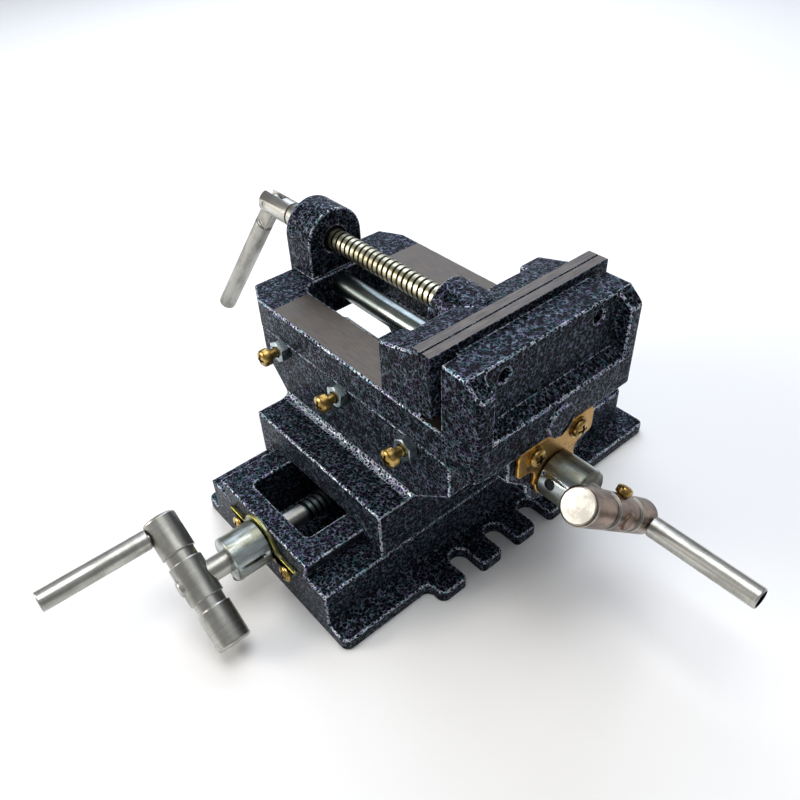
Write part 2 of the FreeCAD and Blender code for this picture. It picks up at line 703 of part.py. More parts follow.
def saddle_casting():
    body = new_body("saddle_casting")
    plate = box(-s.body_half_width, -s.saddle_half_length, s.body_half_width, s.saddle_half_length)
    pad(body, "XY", (s.lower_way, s.saddle_top), [plate])
    walls = [
        (-s.body_half_width, s.lower_way),
        (s.body_half_width, s.lower_way),
        (s.body_half_width, s.saddle_top),
        (s.saddle_front, s.saddle_skirt),
        (s.saddle_front, s.upper_way),
        (-s.saddle_back, s.upper_way),
        (-s.saddle_back, s.saddle_skirt),
        (-s.body_half_width, s.saddle_top),
    ]
    pad(body, "XZ", (-s.upper_half_width, s.upper_half_width), [walls])
    fillet(
        body,
        s.cast_fillet,
        edges_along("x", [(y, s.saddle_top) for y in (-s.upper_half_width, s.upper_half_width)]),
        "WallFoot",
    )
    gib_room = s.gib_thickness + s.slide_gap * 2
    tail = [
        (-lower_flank(s.lower_way) - gib_room, s.lower_way),
        (lower_flank(s.lower_way) + s.slide_gap, s.lower_way),
        (lower_flank(lower_ceiling) + s.slide_gap, lower_ceiling),
        (-lower_flank(lower_ceiling) - gib_room, lower_ceiling),
    ]
    cut(body, "XZ", (-s.saddle_half_length, s.saddle_half_length), [tail])
    length = (-s.saddle_back, s.saddle_front)
    channel = box(
        -s.saddle_channel_half, s.saddle_channel_floor, s.saddle_channel_half, s.upper_way
    )
    cut(body, "YZ", length, [channel])
    tail = [
        (-upper_flank(s.upper_way) - gib_room, s.upper_way),
        (-upper_flank(upper_ledge) - gib_room, upper_ledge),
        (upper_flank(upper_ledge) + s.slide_gap, upper_ledge),
        (upper_flank(s.upper_way) + s.slide_gap, s.upper_way),
    ]
    cut(body, "YZ", length, [tail])
    gib_hole = s.gib_screw_dia / 2 + s.running_gap
    hole = cut(
        body,
        "XZ",
        (-s.upper_half_width, -upper_flank(upper_gib_height)),
        circles=[(s.upper_gib_middle - s.upper_gib_pitch * gib_row_half, upper_gib_height, gib_hole)],
    )
    repeat(body, [hole], "X", s.upper_gib_pitch, s.gib_screw_count)
    hole = cut(
        body,
        "YZ",
        (-s.body_half_width, -lower_flank(lower_gib_height)),
        circles=[(-s.lower_gib_pitch * gib_row_half, lower_gib_height, gib_hole)],
    )
    repeat(body, [hole], "Y", s.lower_gib_pitch, s.gib_screw_count)
    screw_hole = s.nut_screw_dia / 2 + s.running_gap
    head_hole = s.nut_screw_head_dia / 2 + s.flange_clearance
    ends = (-nut_screw_place, nut_screw_place)
    cut(body, "XY", (lower_ceiling, s.saddle_channel_floor),
        circles=[(x, 0, screw_hole) for x in ends])
    cut(body, "XY", (saddle_screw_seat, s.saddle_channel_floor),
        circles=[(x, 0, head_hole) for x in ends])
    cut(
        body, "XY", (s.saddle_channel_floor - s.nut_screw_bite, s.saddle_channel_floor),
        circles=[(s.upper_nut_place, y, screw_hole) for y in ends],
    )
    place(body, y=s.slide_middle)


saddle_screw_seat = s.saddle_channel_floor - s.nut_screw_head - s.nut_screw_sink
upper_gib_height = s.upper_way - s.upper_dovetail_drop / 2
lower_gib_height = s.lower_way + s.lower_dovetail_rise / 2


def gib_strip(label, plane, half_span, flank, low, high, spot):
    """Strip with the dovetail's slant, on the side of negative X or Y."""
    body = new_body(label)
    inner = {z: flank(z) + s.slide_gap for z in (low, high)}
    outline = [
        (-inner[low], low),
        (-inner[high], high),
        (-inner[high] - s.gib_thickness, high),
        (-inner[low] - s.gib_thickness, low),
    ]
    pad(body, plane, half_span, [outline])
    place(body, **spot)


def gib_screws(label, tip, face, pitch, spot, turn):
    """Row of set screws with cylindrical heads, drawn along X with the points at +X."""
    body = new_body(label)
    thread, head = s.gib_screw_dia / 2, s.gib_screw_head_dia / 2
    seat = face - s.gib_screw_stand
    screw = turned(
        body,
        [(seat - s.gib_screw_head, head), (seat, head), (seat, thread),
         (tip - thread / 2, thread), (tip, thread / 2)],
    )
    chamfer(body, s.gib_head_bevel, circles_at("x", seat - s.gib_screw_head, head), "HeadEdge")
    repeat(body, [screw, body.Tip], "Y", pitch, s.gib_screw_count)
    place(body, **spot, turn=turn)


def gib_nuts(label, face, pitch, spot, turn):
    """Row of hexagon lock nuts, drawn along X on the face."""
    body = new_body(label)
    corner = s.gib_nut_flats / math.sqrt(3)
    half = s.gib_nut_flats / 2
    hexagon = [
        (half, corner / 2), (0, corner), (-half, corner / 2),
        (-half, -corner / 2), (0, -corner), (half, -corner / 2),
    ]
    blank = pad(body, "YZ", (face - s.gib_nut_thickness, face), [hexagon])
    hole = cut(
        body, "YZ", (face - s.gib_nut_thickness, face),
        circles=[(0, 0, s.gib_screw_dia / 2 + s.running_gap)],
    )
    repeat(body, [blank, hole], "Y", pitch, s.gib_screw_count)
    place(body, **spot, turn=turn)


def feed_nut(label, axis, seat, spot, turn):
    """T-shaped nut round a lead screw, drawn along Y, its ears at the seat's height."""
    body = new_body(label)
    up = 1 if seat.value < axis.value else -1
    ear = seat + s.nut_ear * up
    end = axis + s.nut_wall * up
    outline = [
        (-s.nut_half_width, seat), (s.nut_half_width, seat), (s.nut_half_width, ear),
        (s.nut_core_half, ear), (s.nut_core_half, end), (-s.nut_core_half, end),
        (-s.nut_core_half, ear), (-s.nut_half_width, ear),
    ]
    length = (-s.nut_length / 2, s.nut_length / 2)
    pad(body, "XZ", length, [outline])
    cut(body, "XZ", length, circles=[(0, axis, lead_hole)])
    low, high = (seat, ear) if up > 0 else (ear, seat)
    hole = s.nut_screw_dia / 2 + s.running_gap
    cut(body, "XY", (low, high), circles=[(x, 0, hole) for x in (-nut_screw_place, nut_screw_place)])
    place(body, **spot, turn=turn)


def nut_screws(label, top, length, spot):
    """Pair of cap screws that point down, heads under the top given."""
    body = new_body(label)
    seat = top - s.nut_screw_head
    ends = (-nut_screw_place, nut_screw_place)
    pad(body, "XY", (seat, top), circles=[(x, 0, s.nut_screw_head_dia / 2) for x in ends])
    pad(body, "XY", (seat - length, seat), circles=[(x, 0, s.nut_screw_dia / 2) for x in ends])
    place(body, **spot)


# Bed with the fixed jaw


def bed_casting():
    body = new_body("bed_casting")
    half = s.upper_half_width
    pad(body, "XY", (s.upper_way, s.bed_top), [box(-s.bed_rear, -half, s.bed_front, half)])
    jaw = [
        (s.jaw_back, s.upper_way),
        (s.bed_front, s.upper_way),
        (s.bed_front, s.jaw_height - s.jaw_fall),
        (s.jaw_crest, s.jaw_height),
        (s.jaw_back, s.jaw_height),
    ]
    pad(body, "XZ", (-half, half), [jaw])
    seat = box(fixed_plate_back, jaw_plate_foot + OVER, s.jaw_back, s.jaw_height)
    pad(body, "XZ", (-s.jaw_seat_half, s.jaw_seat_half), [seat])
    recess = [
        (s.recess_back, s.bed_top + s.recess_floor_rise),
        (s.bed_front, recess_lip),
        (s.bed_front + OVER, recess_lip),
        (s.bed_front + OVER, s.jaw_height + OVER),
        (s.recess_back, s.jaw_height + OVER),
    ]
    inner = half - s.pillar_width
    cut(body, "XZ", (-inner, inner), [recess])
    fillet(
        body, s.cast_fillet, edges_along("z", [(s.recess_back, -inner), (s.recess_back, inner)]),
        "RecessCorners",
    )
    fillet(
        body, s.cast_edge * 2, edges_along("z", [(s.bed_front, -half), (s.bed_front, half)]),
        "JawCorners",
    )
    # rear boss for the clamp screw
    boss = box(-s.boss_radius, s.boss_foot, s.boss_radius, s.clamp_axis)
    boss_span = (-s.boss_rear, -s.boss_front)
    pad(body, "YZ", boss_span, [boss])
    pad(body, "YZ", boss_span, circles=[(0, s.clamp_axis, s.boss_radius)])
    # cut rear corners
    corners = []
    for side in (1, -1):
        corners.append([
            (-s.bed_rear - OVER, half * side - s.bed_corner_width * side),
            (-s.bed_rear, half * side - s.bed_corner_width * side),
            (-s.bed_rear + s.bed_corner_length, half * side),
            (-s.bed_rear + s.bed_corner_length, half * side + OVER * side),
            (-s.bed_rear - OVER, half * side + OVER * side),
        ])
    cut(body, "XY", (s.upper_way, s.bed_top), corners)
    # dovetail and front lug under the bed
    tail = [
        (-upper_flank(s.upper_way), s.upper_way),
        (-upper_flank(upper_dovetail_foot), upper_dovetail_foot),
        (upper_flank(upper_dovetail_foot), upper_dovetail_foot),
        (upper_flank(s.upper_way), s.upper_way),
    ]
    pad(body, "YZ", (-s.bed_dovetail_rear, s.lug_back), [tail])
    lug = [
        (-s.lug_half_width, s.upper_way),
        (-s.lug_half_width, s.lug_shoulder),
        (-s.lug_radius, s.upper_axis),
        (s.lug_radius, s.upper_axis),
        (s.lug_half_width, s.lug_shoulder),
        (s.lug_half_width, s.upper_way),
    ]
    lug_span = (s.lug_back, s.lug_face)
    pad(body, "YZ", lug_span, [lug])
    pad(body, "YZ", lug_span, circles=[(0, s.upper_axis, s.lug_radius)])
    rebate = box(-half, s.upper_way, half, s.rim_height)
    cut(body, "YZ", (s.lug_face, s.bed_front), [rebate])
    # window between the slideways
    opening = box(-s.window_rear, -s.window_half, s.window_front, s.window_half)
    cut(body, "XY", (upper_dovetail_foot, s.bed_top), [opening])
    fillet(
        body, s.window_corner,
        edges_along("z", [(-s.window_rear, y) for y in (-s.window_half, s.window_half)]),
        "WindowCorners",
    )
    # bores
    cut(body, "YZ", boss_span, circles=[(0, s.clamp_axis, s.clamp_dia / 2 + s.running_gap)])
    cut(body, "YZ", (-s.boss_rear, -s.window_rear), circles=[(0, s.rod_axis, rod_hole)])
    cut(body, "YZ", (s.window_front, s.window_front + s.rod_seat),
        circles=[(0, s.rod_axis, rod_hole)])
    pad(body, "YZ", (s.bed_front, s.bed_front + s.rod_boss),
        circles=[(0, s.rod_axis, s.rod_boss_radius)])
    cut(body, "YZ", lug_span, circles=[(0, s.upper_axis, lead_hole)])
    cut(body, "YZ", (s.lug_face - flange_recess, s.lug_face),
        circles=[(0, s.upper_axis, flange_recess_radius)])
    plate_hole = s.plate_screw_dia / 2 + s.running_gap
    cut(
        body, "YZ", (s.lug_face - s.plate_screw_length - OVER, s.lug_face),
        circles=[(y, s.upper_screw_height, plate_hole)
                 for y in (-s.upper_screw_place, s.upper_screw_place)],
    )
    cut(
        body, "YZ", (fixed_plate_back, s.recess_back),
        circles=[(y, fixed_screw_height, s.jaw_screw_dia / 2 + s.running_gap)
                 for y in (-s.jaw_screw_place, s.jaw_screw_place)],
    )
    place(body, y=s.slide_middle)


def jaw_plate(label, gripping_side, back, screw_height):
    """Hardened plate with two countersunk holes; gripping_side is 1 where it faces +X.

    Both plates are alike, and the moving jaw's stands the other way up.
    """
    body = new_body(label)
    low, high = (back, s.jaw_seam) if gripping_side > 0 else (s.jaw_seam, back)
    face = box(-s.jaw_plate_half, jaw_plate_foot, s.jaw_plate_half, jaw_plate_top)
    pad(body, "YZ", (low, high), [face])
    hole = s.jaw_screw_dia / 2 + s.slide_gap
    cut(body, "YZ", (low, high),
        circles=[(y, screw_height, hole) for y in (-s.jaw_screw_place, s.jaw_screw_place)])
    depth = (s.jaw_screw_head_dia - s.jaw_screw_dia) / 2
    chamfer(body, depth, circles_at("x", s.jaw_seam, hole), "Countersinks")
    place(body, y=s.slide_middle)


def jaw_screws(label, spot, turn):
    """Pair of countersunk screws, drawn along X with the heads' faces at 0."""
    body = new_body(label)
    shank = s.jaw_screw_dia / 2
    head = s.jaw_screw_head_dia / 2 - s.slide_gap * 2
    face = s.slide_gap * 2
    screw = turned(
        body,
        [(face, head), (face + head - shank, shank), (s.jaw_screw_length, shank)],
    )
    repeat(body, [screw], "Y", s.jaw_screw_place * 2, PAIR)
    place(body, **spot, turn=turn)


def guide_rod():
    body = new_body("guide_rod")
    end = s.turned_bevel / 2
    low, high = -s.boss_rear + end, s.window_front + s.rod_seat - end
    radius = s.rod_dia / 2
    turned(body, [(low, radius - end), (low + end, radius), (high - end, radius),
                  (high, radius - end)])
    place(body, y=s.slide_middle, z=s.rod_axis)


# Moving jaw


def moving_jaw_casting():
    body = new_body("moving_jaw_casting")
    half = s.upper_half_width
    foot = s.bed_top + s.way_gap
    rise = (moving_front_height - moving_rear_height) / (moving_plate_back - s.wing_rear)
    rear_top = moving_rear_height + rise * (s.moving_rear - s.wing_rear)
    block = [
        (s.moving_rear, foot),
        (moving_plate_back, foot),
        (moving_plate_back, moving_front_height),
        (s.moving_rear, rear_top),
    ]
    pad(body, "XZ", (-half, half), [block])
    wing = [
        (s.wing_rear, foot), (s.moving_rear, foot), (s.moving_rear, rear_top),
        (s.wing_rear, moving_rear_height),
    ]
    pad(body, "XZ", (s.wing_inner, half), [wing])
    pad(body, "XZ", (-half, -s.wing_inner), [wing])
    # round the wings into the rear face
    fillet(
        body, s.cast_fillet,
        edges_along("z", [(s.wing_rear, y) for y in (-s.wing_inner, s.wing_inner)]),
        "WingInner",
    )
    fillet(
        body, s.cast_edge,
        edges_along("z", [(s.wing_rear, y) for y in (-half, half)]),
        "WingOuter",
    )
    hub = box(-s.hub_radius, foot, s.hub_radius, s.clamp_axis)
    hub_span = (s.hub_rear, s.hub_front)
    pad(body, "YZ", hub_span, [hub])
    pad(body, "YZ", hub_span, circles=[(0, s.clamp_axis, s.hub_radius)])
    side = s.window_half - s.keel_gap
    keel = box(s.wing_rear, -side, s.keel_front, side)
    pad(body, "XY", (s.keel_foot, foot), [keel])
    cut(body, "YZ", (s.wing_rear, s.keel_front), circles=[(0, s.rod_axis, rod_hole)])
    cut(body, "YZ", (s.hub_rear, s.nose_bore_end),
        circles=[(0, s.clamp_axis, s.nose_dia / 2 + s.running_gap)])
    cut(
        body, "XY", (s.retaining_pin_foot, s.clamp_axis + s.hub_radius),
        circles=[(s.retaining_pin_place, pin_offset, s.retaining_pin_dia / 2 + s.running_gap)],
    )
    cut(
        body, "YZ", (s.jaw_seam - s.jaw_screw_length - OVER, moving_plate_back),
        circles=[(y, moving_screw_height, s.jaw_screw_dia / 2 + s.running_gap)
                 for y in (-s.jaw_screw_place, s.jaw_screw_place)],
    )
    place(body, y=s.slide_middle)


pin_offset = (s.nose_groove_dia + s.retaining_pin_dia) / 2 + s.running_gap


def screw_retaining_pin():
    body = new_body("screw_retaining_pin")
    length = s.clamp_axis + s.hub_radius - s.retaining_pin_foot - s.retaining_pin_sink
    turned(body, [(0, s.retaining_pin_dia / 2), (length, s.retaining_pin_dia / 2)])
    place(
        body, s.retaining_pin_place, s.slide_middle + pin_offset, s.retaining_pin_foot + length,
        DOWN,
    )


# Clamp screw and folding handle

fork_frame = about((1, 0, 0), s.fork_turn.value)


def clamp_screw():
    body = new_body("clamp_screw")
    thread, head, nose = s.clamp_dia / 2, s.head_dia / 2, s.nose_dia / 2
    groove, neck = s.nose_groove_dia / 2, s.head_neck_dia / 2
    groove_half = s.retaining_pin_dia / 2 + s.slide_gap
    shoulder = s.hub_rear - s.running_gap
    bevel = s.turned_bevel
    turned(
        body,
        [
            (-s.head_end, head - bevel), (-s.head_end + bevel, head),
            (-s.head_ring, head), (-s.head_ring, neck),
            (-s.head_ring + s.head_neck_width, neck), (-s.head_ring + s.head_neck_width, head),
            (-s.head_start, head), (-s.head_start, thread),
            (shoulder, thread), (shoulder, nose),
            (s.retaining_pin_place - groove_half, nose),
            (s.retaining_pin_place - groove_half, groove),
            (s.retaining_pin_place + groove_half, groove),
            (s.retaining_pin_place + groove_half, nose),
            (s.nose_end - bevel, nose), (s.nose_end, nose - bevel),
        ],
    )
    half = s.fork_width / 2
    slot = box(-s.head_end - OVER, -half, -s.head_end + s.fork_depth, half)
    cut(body, "XY", (-s.head_dia, s.head_dia), [slot])
    pin_hole = s.handle_pin_dia / 2 + s.running_gap
    cut(body, "XZ", (-s.head_dia, s.head_dia), circles=[(-s.fork_pivot, 0, pin_hole)])
    place(body, y=s.slide_middle, z=s.clamp_axis, turn=fork_frame)


def handle_pin():
    body = new_body("handle_pin")
    reach = s.head_dia / 2 - s.slide_gap * 4
    turned(body, [(-reach, s.handle_pin_dia / 2), (reach, s.handle_pin_dia / 2)])
    place(body, -s.fork_pivot, s.slide_middle, s.clamp_axis, fork_frame.multiply(ALONG_Y))


def clamp_handle():
    body = new_body("clamp_handle")
    radius = s.handle_dia / 2
    pad(body, "XY", (-s.handle_length, -s.tongue_length), circles=[(0, 0, radius)])
    for end in (-s.handle_length, -s.tongue_length):
        chamfer(body, s.turned_bevel, circles_at("z", end, radius), "HandleEnd")
    flat = (-s.tongue_thickness / 2, s.tongue_thickness / 2)
    half = s.tongue_width / 2
    pad(body, "XZ", flat, [box(-half, -s.tongue_length - OVER, half, 0)])
    pad(body, "XZ", flat, circles=[(0, 0, half)])
    cut(body, "XZ", flat, circles=[(0, 0, s.handle_pin_dia / 2 + s.running_gap)])
    tilt = fork_frame.multiply(about((0, 1, 0), s.handle_tilt.value))
    place(body, -s.fork_pivot, s.slide_middle, s.clamp_axis, tilt)


# Lead screws and cranks


class Drive:
    """One lead screw with its collar and crank: its places, and the turn that lays it out.

    Its pieces are drawn along local X, which runs from the crank into the casting, with 0 at
    the casting's face. The crank bar is drawn along its own X, with local Z pointing out.
    """

    def __init__(self, name, reach, angle, turn, spot, outward, grip_side, screw):
        self.name, self.reach, self.turn, self.spot = name, reach, turn, spot
        self.screw_place, screw_turn, self.screw_proud = screw
        self.screw_turn = turn.multiply(about((1, 0, 0), screw_turn.value))
        out, side = FreeCAD.Vector(*outward), FreeCAD.Vector(*grip_side)
        lean = math.radians(angle.value)
        along = side * math.cos(lean) + FreeCAD.Vector(0, 0, 1) * math.sin(lean)
        self.bar_turn = FreeCAD.Rotation(along, out.cross(along), out, "XYZ")
        self.out, self.along = out, along

    def on_bar(self):
        """Place of the crank bar's middle, as keyword arguments."""
        spot = dict(self.spot)
        axis = "x" if self.out.x else "y"
        sign = self.out.x or self.out.y
        spot[axis] = as_size(spot.get(axis, 0)) + self.reach * sign
        return spot

    def on_grip(self):
        """Place of the grip's axis at the crank bar, as keyword arguments."""
        spot = self.on_bar()
        for axis, share in zip("xyz", self.along):
            if abs(share) > NEAR:
                spot[axis] = as_size(spot.get(axis, 0)) + s.grip_throw * share
        return spot


def lead_screw(drive, thread_end, tail):
    """Turned lead screw, with the crank's seat at -X and the thread at +X."""
    body = new_body(f"{drive.name}_lead_screw")
    seat, stub = s.crank_seat_dia / 2, s.stub_dia / 2
    flange, thread = s.flange_dia / 2, s.lead_dia / 2
    bar = -drive.reach
    radius = s.bar_dia / 2
    shoulder = bar + radius - s.bar_seat_depth
    inner = s.end_float / 2
    bevel = s.turned_bevel / 2
    stations = [
        (bar - radius - bevel, seat - bevel), (bar - radius, seat), (shoulder, seat),
        (shoulder, stub), (inner, stub), (inner, flange),
        (inner + s.flange_thickness, flange), (inner + s.flange_thickness, thread),
        (thread_end, thread),
    ]
    if tail:
        stations += [(thread_end, seat), (thread_end + s.tail_length, seat)]
    turned(body, stations)
    place(body, **drive.spot, turn=drive.turn)


def collar(drive):
    """Plain collar with a radial hole for its set screw."""
    body = new_body(f"{drive.name}_collar")
    face = -s.retainer_thickness - s.collar_gap
    radius, bevel = s.collar_dia / 2, s.turned_bevel / 2
    far = face - s.collar_length
    turned(
        body,
        [(far, radius - bevel), (far + bevel, radius), (face - bevel, radius),
         (face, radius - bevel)],
        bore=s.stub_dia / 2 + s.running_gap,
    )
    hole = s.collar_screw_dia / 2 + s.running_gap
    cut(body, "XY", (0, radius), circles=[(face - drive.screw_place, 0, hole)])
    place(body, **drive.spot, turn=drive.screw_turn)


def collar_set_screw(drive):
    """Set screw in the collar, with a head that stands proud or with its end below the rim."""
    body = new_body(f"{drive.name}_collar_set_screw")
    inner, rim = s.stub_dia / 2 + s.slide_gap, s.collar_dia / 2
    seat = rim + s.slide_gap * 2 if drive.screw_proud else rim - s.turned_bevel
    pad(body, "XY", (inner, seat), circles=[(0, 0, s.collar_screw_dia / 2)])
    if drive.screw_proud:
        pad(body, "XY", (seat, seat + s.collar_screw_head),
            circles=[(0, 0, s.collar_screw_head_dia / 2)])
    middle = s.retainer_thickness + s.collar_gap + drive.screw_place
    spot = dict(drive.spot)
    axis, sign = ("x", drive.out.x) if drive.out.x else ("y", drive.out.y)
    spot[axis] = as_size(spot.get(axis, 0)) + middle * sign
    place(body, **spot, turn=drive.screw_turn)


def crank_bar(drive):
    """Turned bar with two necks, bored across for the shaft and the grip's pin."""
    body = new_body(f"{drive.name}_crank_bar")
    radius, neck = s.bar_dia / 2, s.bar_neck_dia / 2
    half, bevel = s.bar_neck_width / 2, s.turned_bevel
    stations = [(-s.bar_half_length, radius - bevel), (-s.bar_half_length + bevel, radius)]
    for middle in (-s.bar_neck_place, s.bar_neck_place):
        stations += [(middle - half, radius), (middle - half, neck),
                     (middle + half, neck), (middle + half, radius)]
    stations += [(s.bar_half_length - bevel, radius), (s.bar_half_length, radius - bevel)]
    turned(body, stations)
    cut(body, "XY", (-radius, radius), circles=[
        (0, 0, s.crank_seat_dia / 2 + s.running_gap),
        (s.grip_throw, 0, s.grip_pin_dia / 2 + s.running_gap),
    ])
    cut(body, "XY", (-radius, -radius + s.bar_seat_depth),
        circles=[(0, 0, s.stub_dia / 2 + s.running_gap)])
    cut(body, "XZ", (0, radius),
        circles=[(0, 0, s.crank_screw_dia / 2 + s.running_gap)])
    place(body, **drive.on_bar(), turn=drive.bar_turn)


def crank_set_screw(drive):
    body = new_body(f"{drive.name}_crank_set_screw")
    shank, head = s.crank_screw_dia / 2, s.crank_screw_head_dia / 2
    inner = s.crank_seat_dia / 2 + s.slide_gap
    seat = s.bar_dia / 2 + s.slide_gap * 2
    pad(body, "XZ", (inner, seat), circles=[(0, 0, shank)])
    pad(body, "XZ", (seat, seat + s.crank_screw_dia), circles=[(0, 0, head)])
    place(body, **drive.on_bar(), turn=drive.bar_turn)


def grip_pin(drive):
    """Pin through the bar's end and the grip, its head sunk in the grip's far end."""
    body = new_body(f"{drive.name}_grip_pin")
    shank, head = s.grip_pin_dia / 2, s.grip_pin_head_dia / 2
    far = s.bar_dia / 2 + s.grip_gap + s.grip_length - s.slide_gap * 2
    near = -s.bar_dia / 2 + s.turned_bevel
    pad(body, "XY", (near, far - s.grip_pin_head), circles=[(0, 0, shank)])
    pad(body, "XY", (far - s.grip_pin_head, far), circles=[(0, 0, head)])
    place(body, **drive.on_grip(), turn=drive.bar_turn)


def crank_grip(drive):
    """Sleeve that turns on its pin."""
    body = new_body(f"{drive.name}_crank_grip")
    near = s.bar_dia / 2 + s.grip_gap
    far = near + s.grip_length
    radius, bevel = s.grip_dia / 2, s.turned_bevel / 2
    pad(body, "XY", (near, far), circles=[(0, 0, radius)])
    fillet(body, bevel, circles_at("z", near, radius), "GripNear")
    fillet(body, bevel * 2 - s.slide_gap * 3, circles_at("z", far, radius), "GripFar")
    cut(body, "XY", (near, far), circles=[(0, 0, s.grip_pin_dia / 2 + s.running_gap)])
    recess = s.grip_pin_head_dia / 2 + s.running_gap
    cut(body, "XY", (far - s.grip_pin_head - s.slide_gap * 3, far), circles=[(0, 0, recess)])
    place(body, **drive.on_grip(), turn=drive.bar_turn)


LOWER = Drive(
    "lower", s.lower_crank_reach, s.lower_crank_angle, ALONG_Y,
    {"y": base_front, "z": s.lower_axis}, (0, -1, 0), (-1, 0, 0),
    (s.lower_collar_screw_place, s.lower_collar_screw_turn, True),
)
UPPER = Drive(
    "upper", s.upper_crank_reach, s.upper_crank_angle, FACING_Y,
    {"x": s.lug_face, "y": s.slide_middle, "z": s.upper_axis}, (1, 0, 0), (0, 1, 0),
    (s.upper_collar_screw_place, s.upper_collar_screw_turn, False),
)


def build():
    """Make every piece, from the base up."""
    base_casting()
    retaining_plate(
        "lower_retaining_plate", s.lower_axis, s.lower_retainer_half, s.lower_retainer_foot,
        s.lower_retainer_wing, s.lower_screw_place, s.lower_screw_height,
        {"y": base_front - s.retainer_thickness}, None,
    )
    plate_screws(
        "lower_plate_screws", s.lower_screw_place,
        {"x": s.lower_screw_place, "y": base_front, "z": s.lower_screw_height}, ALONG_Y, 0,
    )
    saddle_casting()
    gib_strip(
        "saddle_gib", "XZ",
        (-s.saddle_half_length + s.gib_inset, s.saddle_half_length - s.gib_inset),
        lower_flank, s.lower_way + s.dovetail_clearance, lower_dovetail_top,
        {"y": s.slide_middle},
    )
    gib_strip(
        "bed_gib", "YZ", (-s.saddle_back + s.gib_inset, s.saddle_front - s.gib_inset),
        upper_flank, upper_dovetail_foot, s.upper_way - s.dovetail_clearance,
        {"y": s.slide_middle},
    )
    lower_tip = -lower_flank(lower_gib_height + s.gib_screw_dia / 4) - s.gib_thickness
    lower_tip = lower_tip - s.slide_gap * 2
    upper_tip = -upper_flank(upper_gib_height - s.gib_screw_dia / 4) - s.gib_thickness
    upper_tip = upper_tip - s.slide_gap * 2
    lower_row = {"y": s.slide_middle - s.lower_gib_pitch * gib_row_half, "z": lower_gib_height}
    upper_row = {
        "x": s.upper_gib_middle + s.upper_gib_pitch * gib_row_half, "y": s.slide_middle,
        "z": upper_gib_height,
    }
    for name, tip, face, pitch, row, turn in (
        ("saddle", lower_tip, -s.body_half_width, s.lower_gib_pitch, lower_row, ALONG_X),
        ("bed", upper_tip, -s.upper_half_width, s.upper_gib_pitch, upper_row, ALONG_Y),
    ):
        gib_screws(f"{name}_gib_screws", tip, face, pitch, row, turn)
        gib_nuts(f"{name}_gib_nuts", face, pitch, row, turn)
    feed_nut("saddle_feed_nut", s.lower_axis, lower_ceiling, {"y": s.slide_middle}, None)
    nut_screws(
        "saddle_nut_screws", saddle_screw_seat + s.nut_screw_head,
        saddle_screw_seat - lower_ceiling + s.nut_ear - s.running_gap, {"y": s.slide_middle},
    )
    feed_nut(
        "bed_feed_nut", s.upper_axis, s.saddle_channel_floor,
        {"x": s.upper_nut_place, "y": s.slide_middle}, ALONG_Y,
    )
    bed_nut_screws()
    bed_casting()
    jaw_plate("fixed_jaw_plate", -1, fixed_plate_back, fixed_screw_height)
    jaw_screws(
        "fixed_jaw_screws",
        {"x": s.jaw_seam, "y": s.slide_middle - s.jaw_screw_place, "z": fixed_screw_height}, None,
    )
    guide_rod()
    retaining_plate(
        "upper_retaining_plate", s.upper_axis, s.upper_retainer_half, s.upper_retainer_top,
        s.upper_retainer_wing, s.upper_screw_place, s.upper_screw_height,
        {"x": s.lug_face + s.retainer_thickness, "y": s.slide_middle}, ALONG_Y,
    )
    plate_screws(
        "upper_plate_screws", s.upper_screw_place,
        {"x": s.lug_face, "y": s.slide_middle + s.upper_screw_place, "z": s.upper_screw_height},
        FACING_Y, s.washer_thickness,
    )
    plate_washers()
    moving_jaw_casting()
    jaw_plate("moving_jaw_plate", 1, moving_plate_back, moving_screw_height)
    jaw_screws(
        "moving_jaw_screws",
        {"x": s.jaw_seam, "y": s.slide_middle + s.jaw_screw_place, "z": moving_screw_height},
        FACING_Y,
    )
    screw_retaining_pin()
    clamp_screw()
    handle_pin()
    clamp_handle()
    thread_ends = {
        "lower": (base_rear - s.end_wall - base_front - s.end_float, True),
        "upper": (s.lug_face + s.upper_tail, False),
    }
    for drive in (LOWER, UPPER):
        lead_screw(drive, *thread_ends[drive.name])
        for piece in (collar, collar_set_screw, crank_bar, crank_set_screw, grip_pin, crank_grip):
            piece(drive)


def bed_nut_screws():
    """Pair of cap screws through the upper feed nut's ears, side by side along Y."""
    body = new_body("bed_nut_screws")
    seat = s.saddle_channel_floor + s.nut_ear
    ends = (-nut_screw_place, nut_screw_place)
    pad(body, "XY", (seat, seat + s.nut_screw_head),
        circles=[(0, y, s.nut_screw_head_dia / 2) for y in ends])
    pad(body, "XY", (s.saddle_channel_floor - s.nut_screw_bite + s.running_gap, seat),
        circles=[(0, y, s.nut_screw_dia / 2) for y in ends])
    place(body, x=s.upper_nut_place, y=s.slide_middle)


def plate_washers():
    """Pair of washers between the upper retaining plate and its screws."""
    body = new_body("upper_plate_washers")
    face = s.lug_face + s.retainer_thickness
    ends = (-s.upper_screw_place, s.upper_screw_place)
    pad(body, "YZ", (face, face + s.washer_thickness),
        circles=[(y, s.upper_screw_height, s.washer_dia / 2) for y in ends])
    cut(body, "YZ", (face, face + s.washer_thickness),
        circles=[(y, s.upper_screw_height, s.plate_screw_dia / 2 + s.running_gap) for y in ends])
    place(body, y=s.slide_middle)


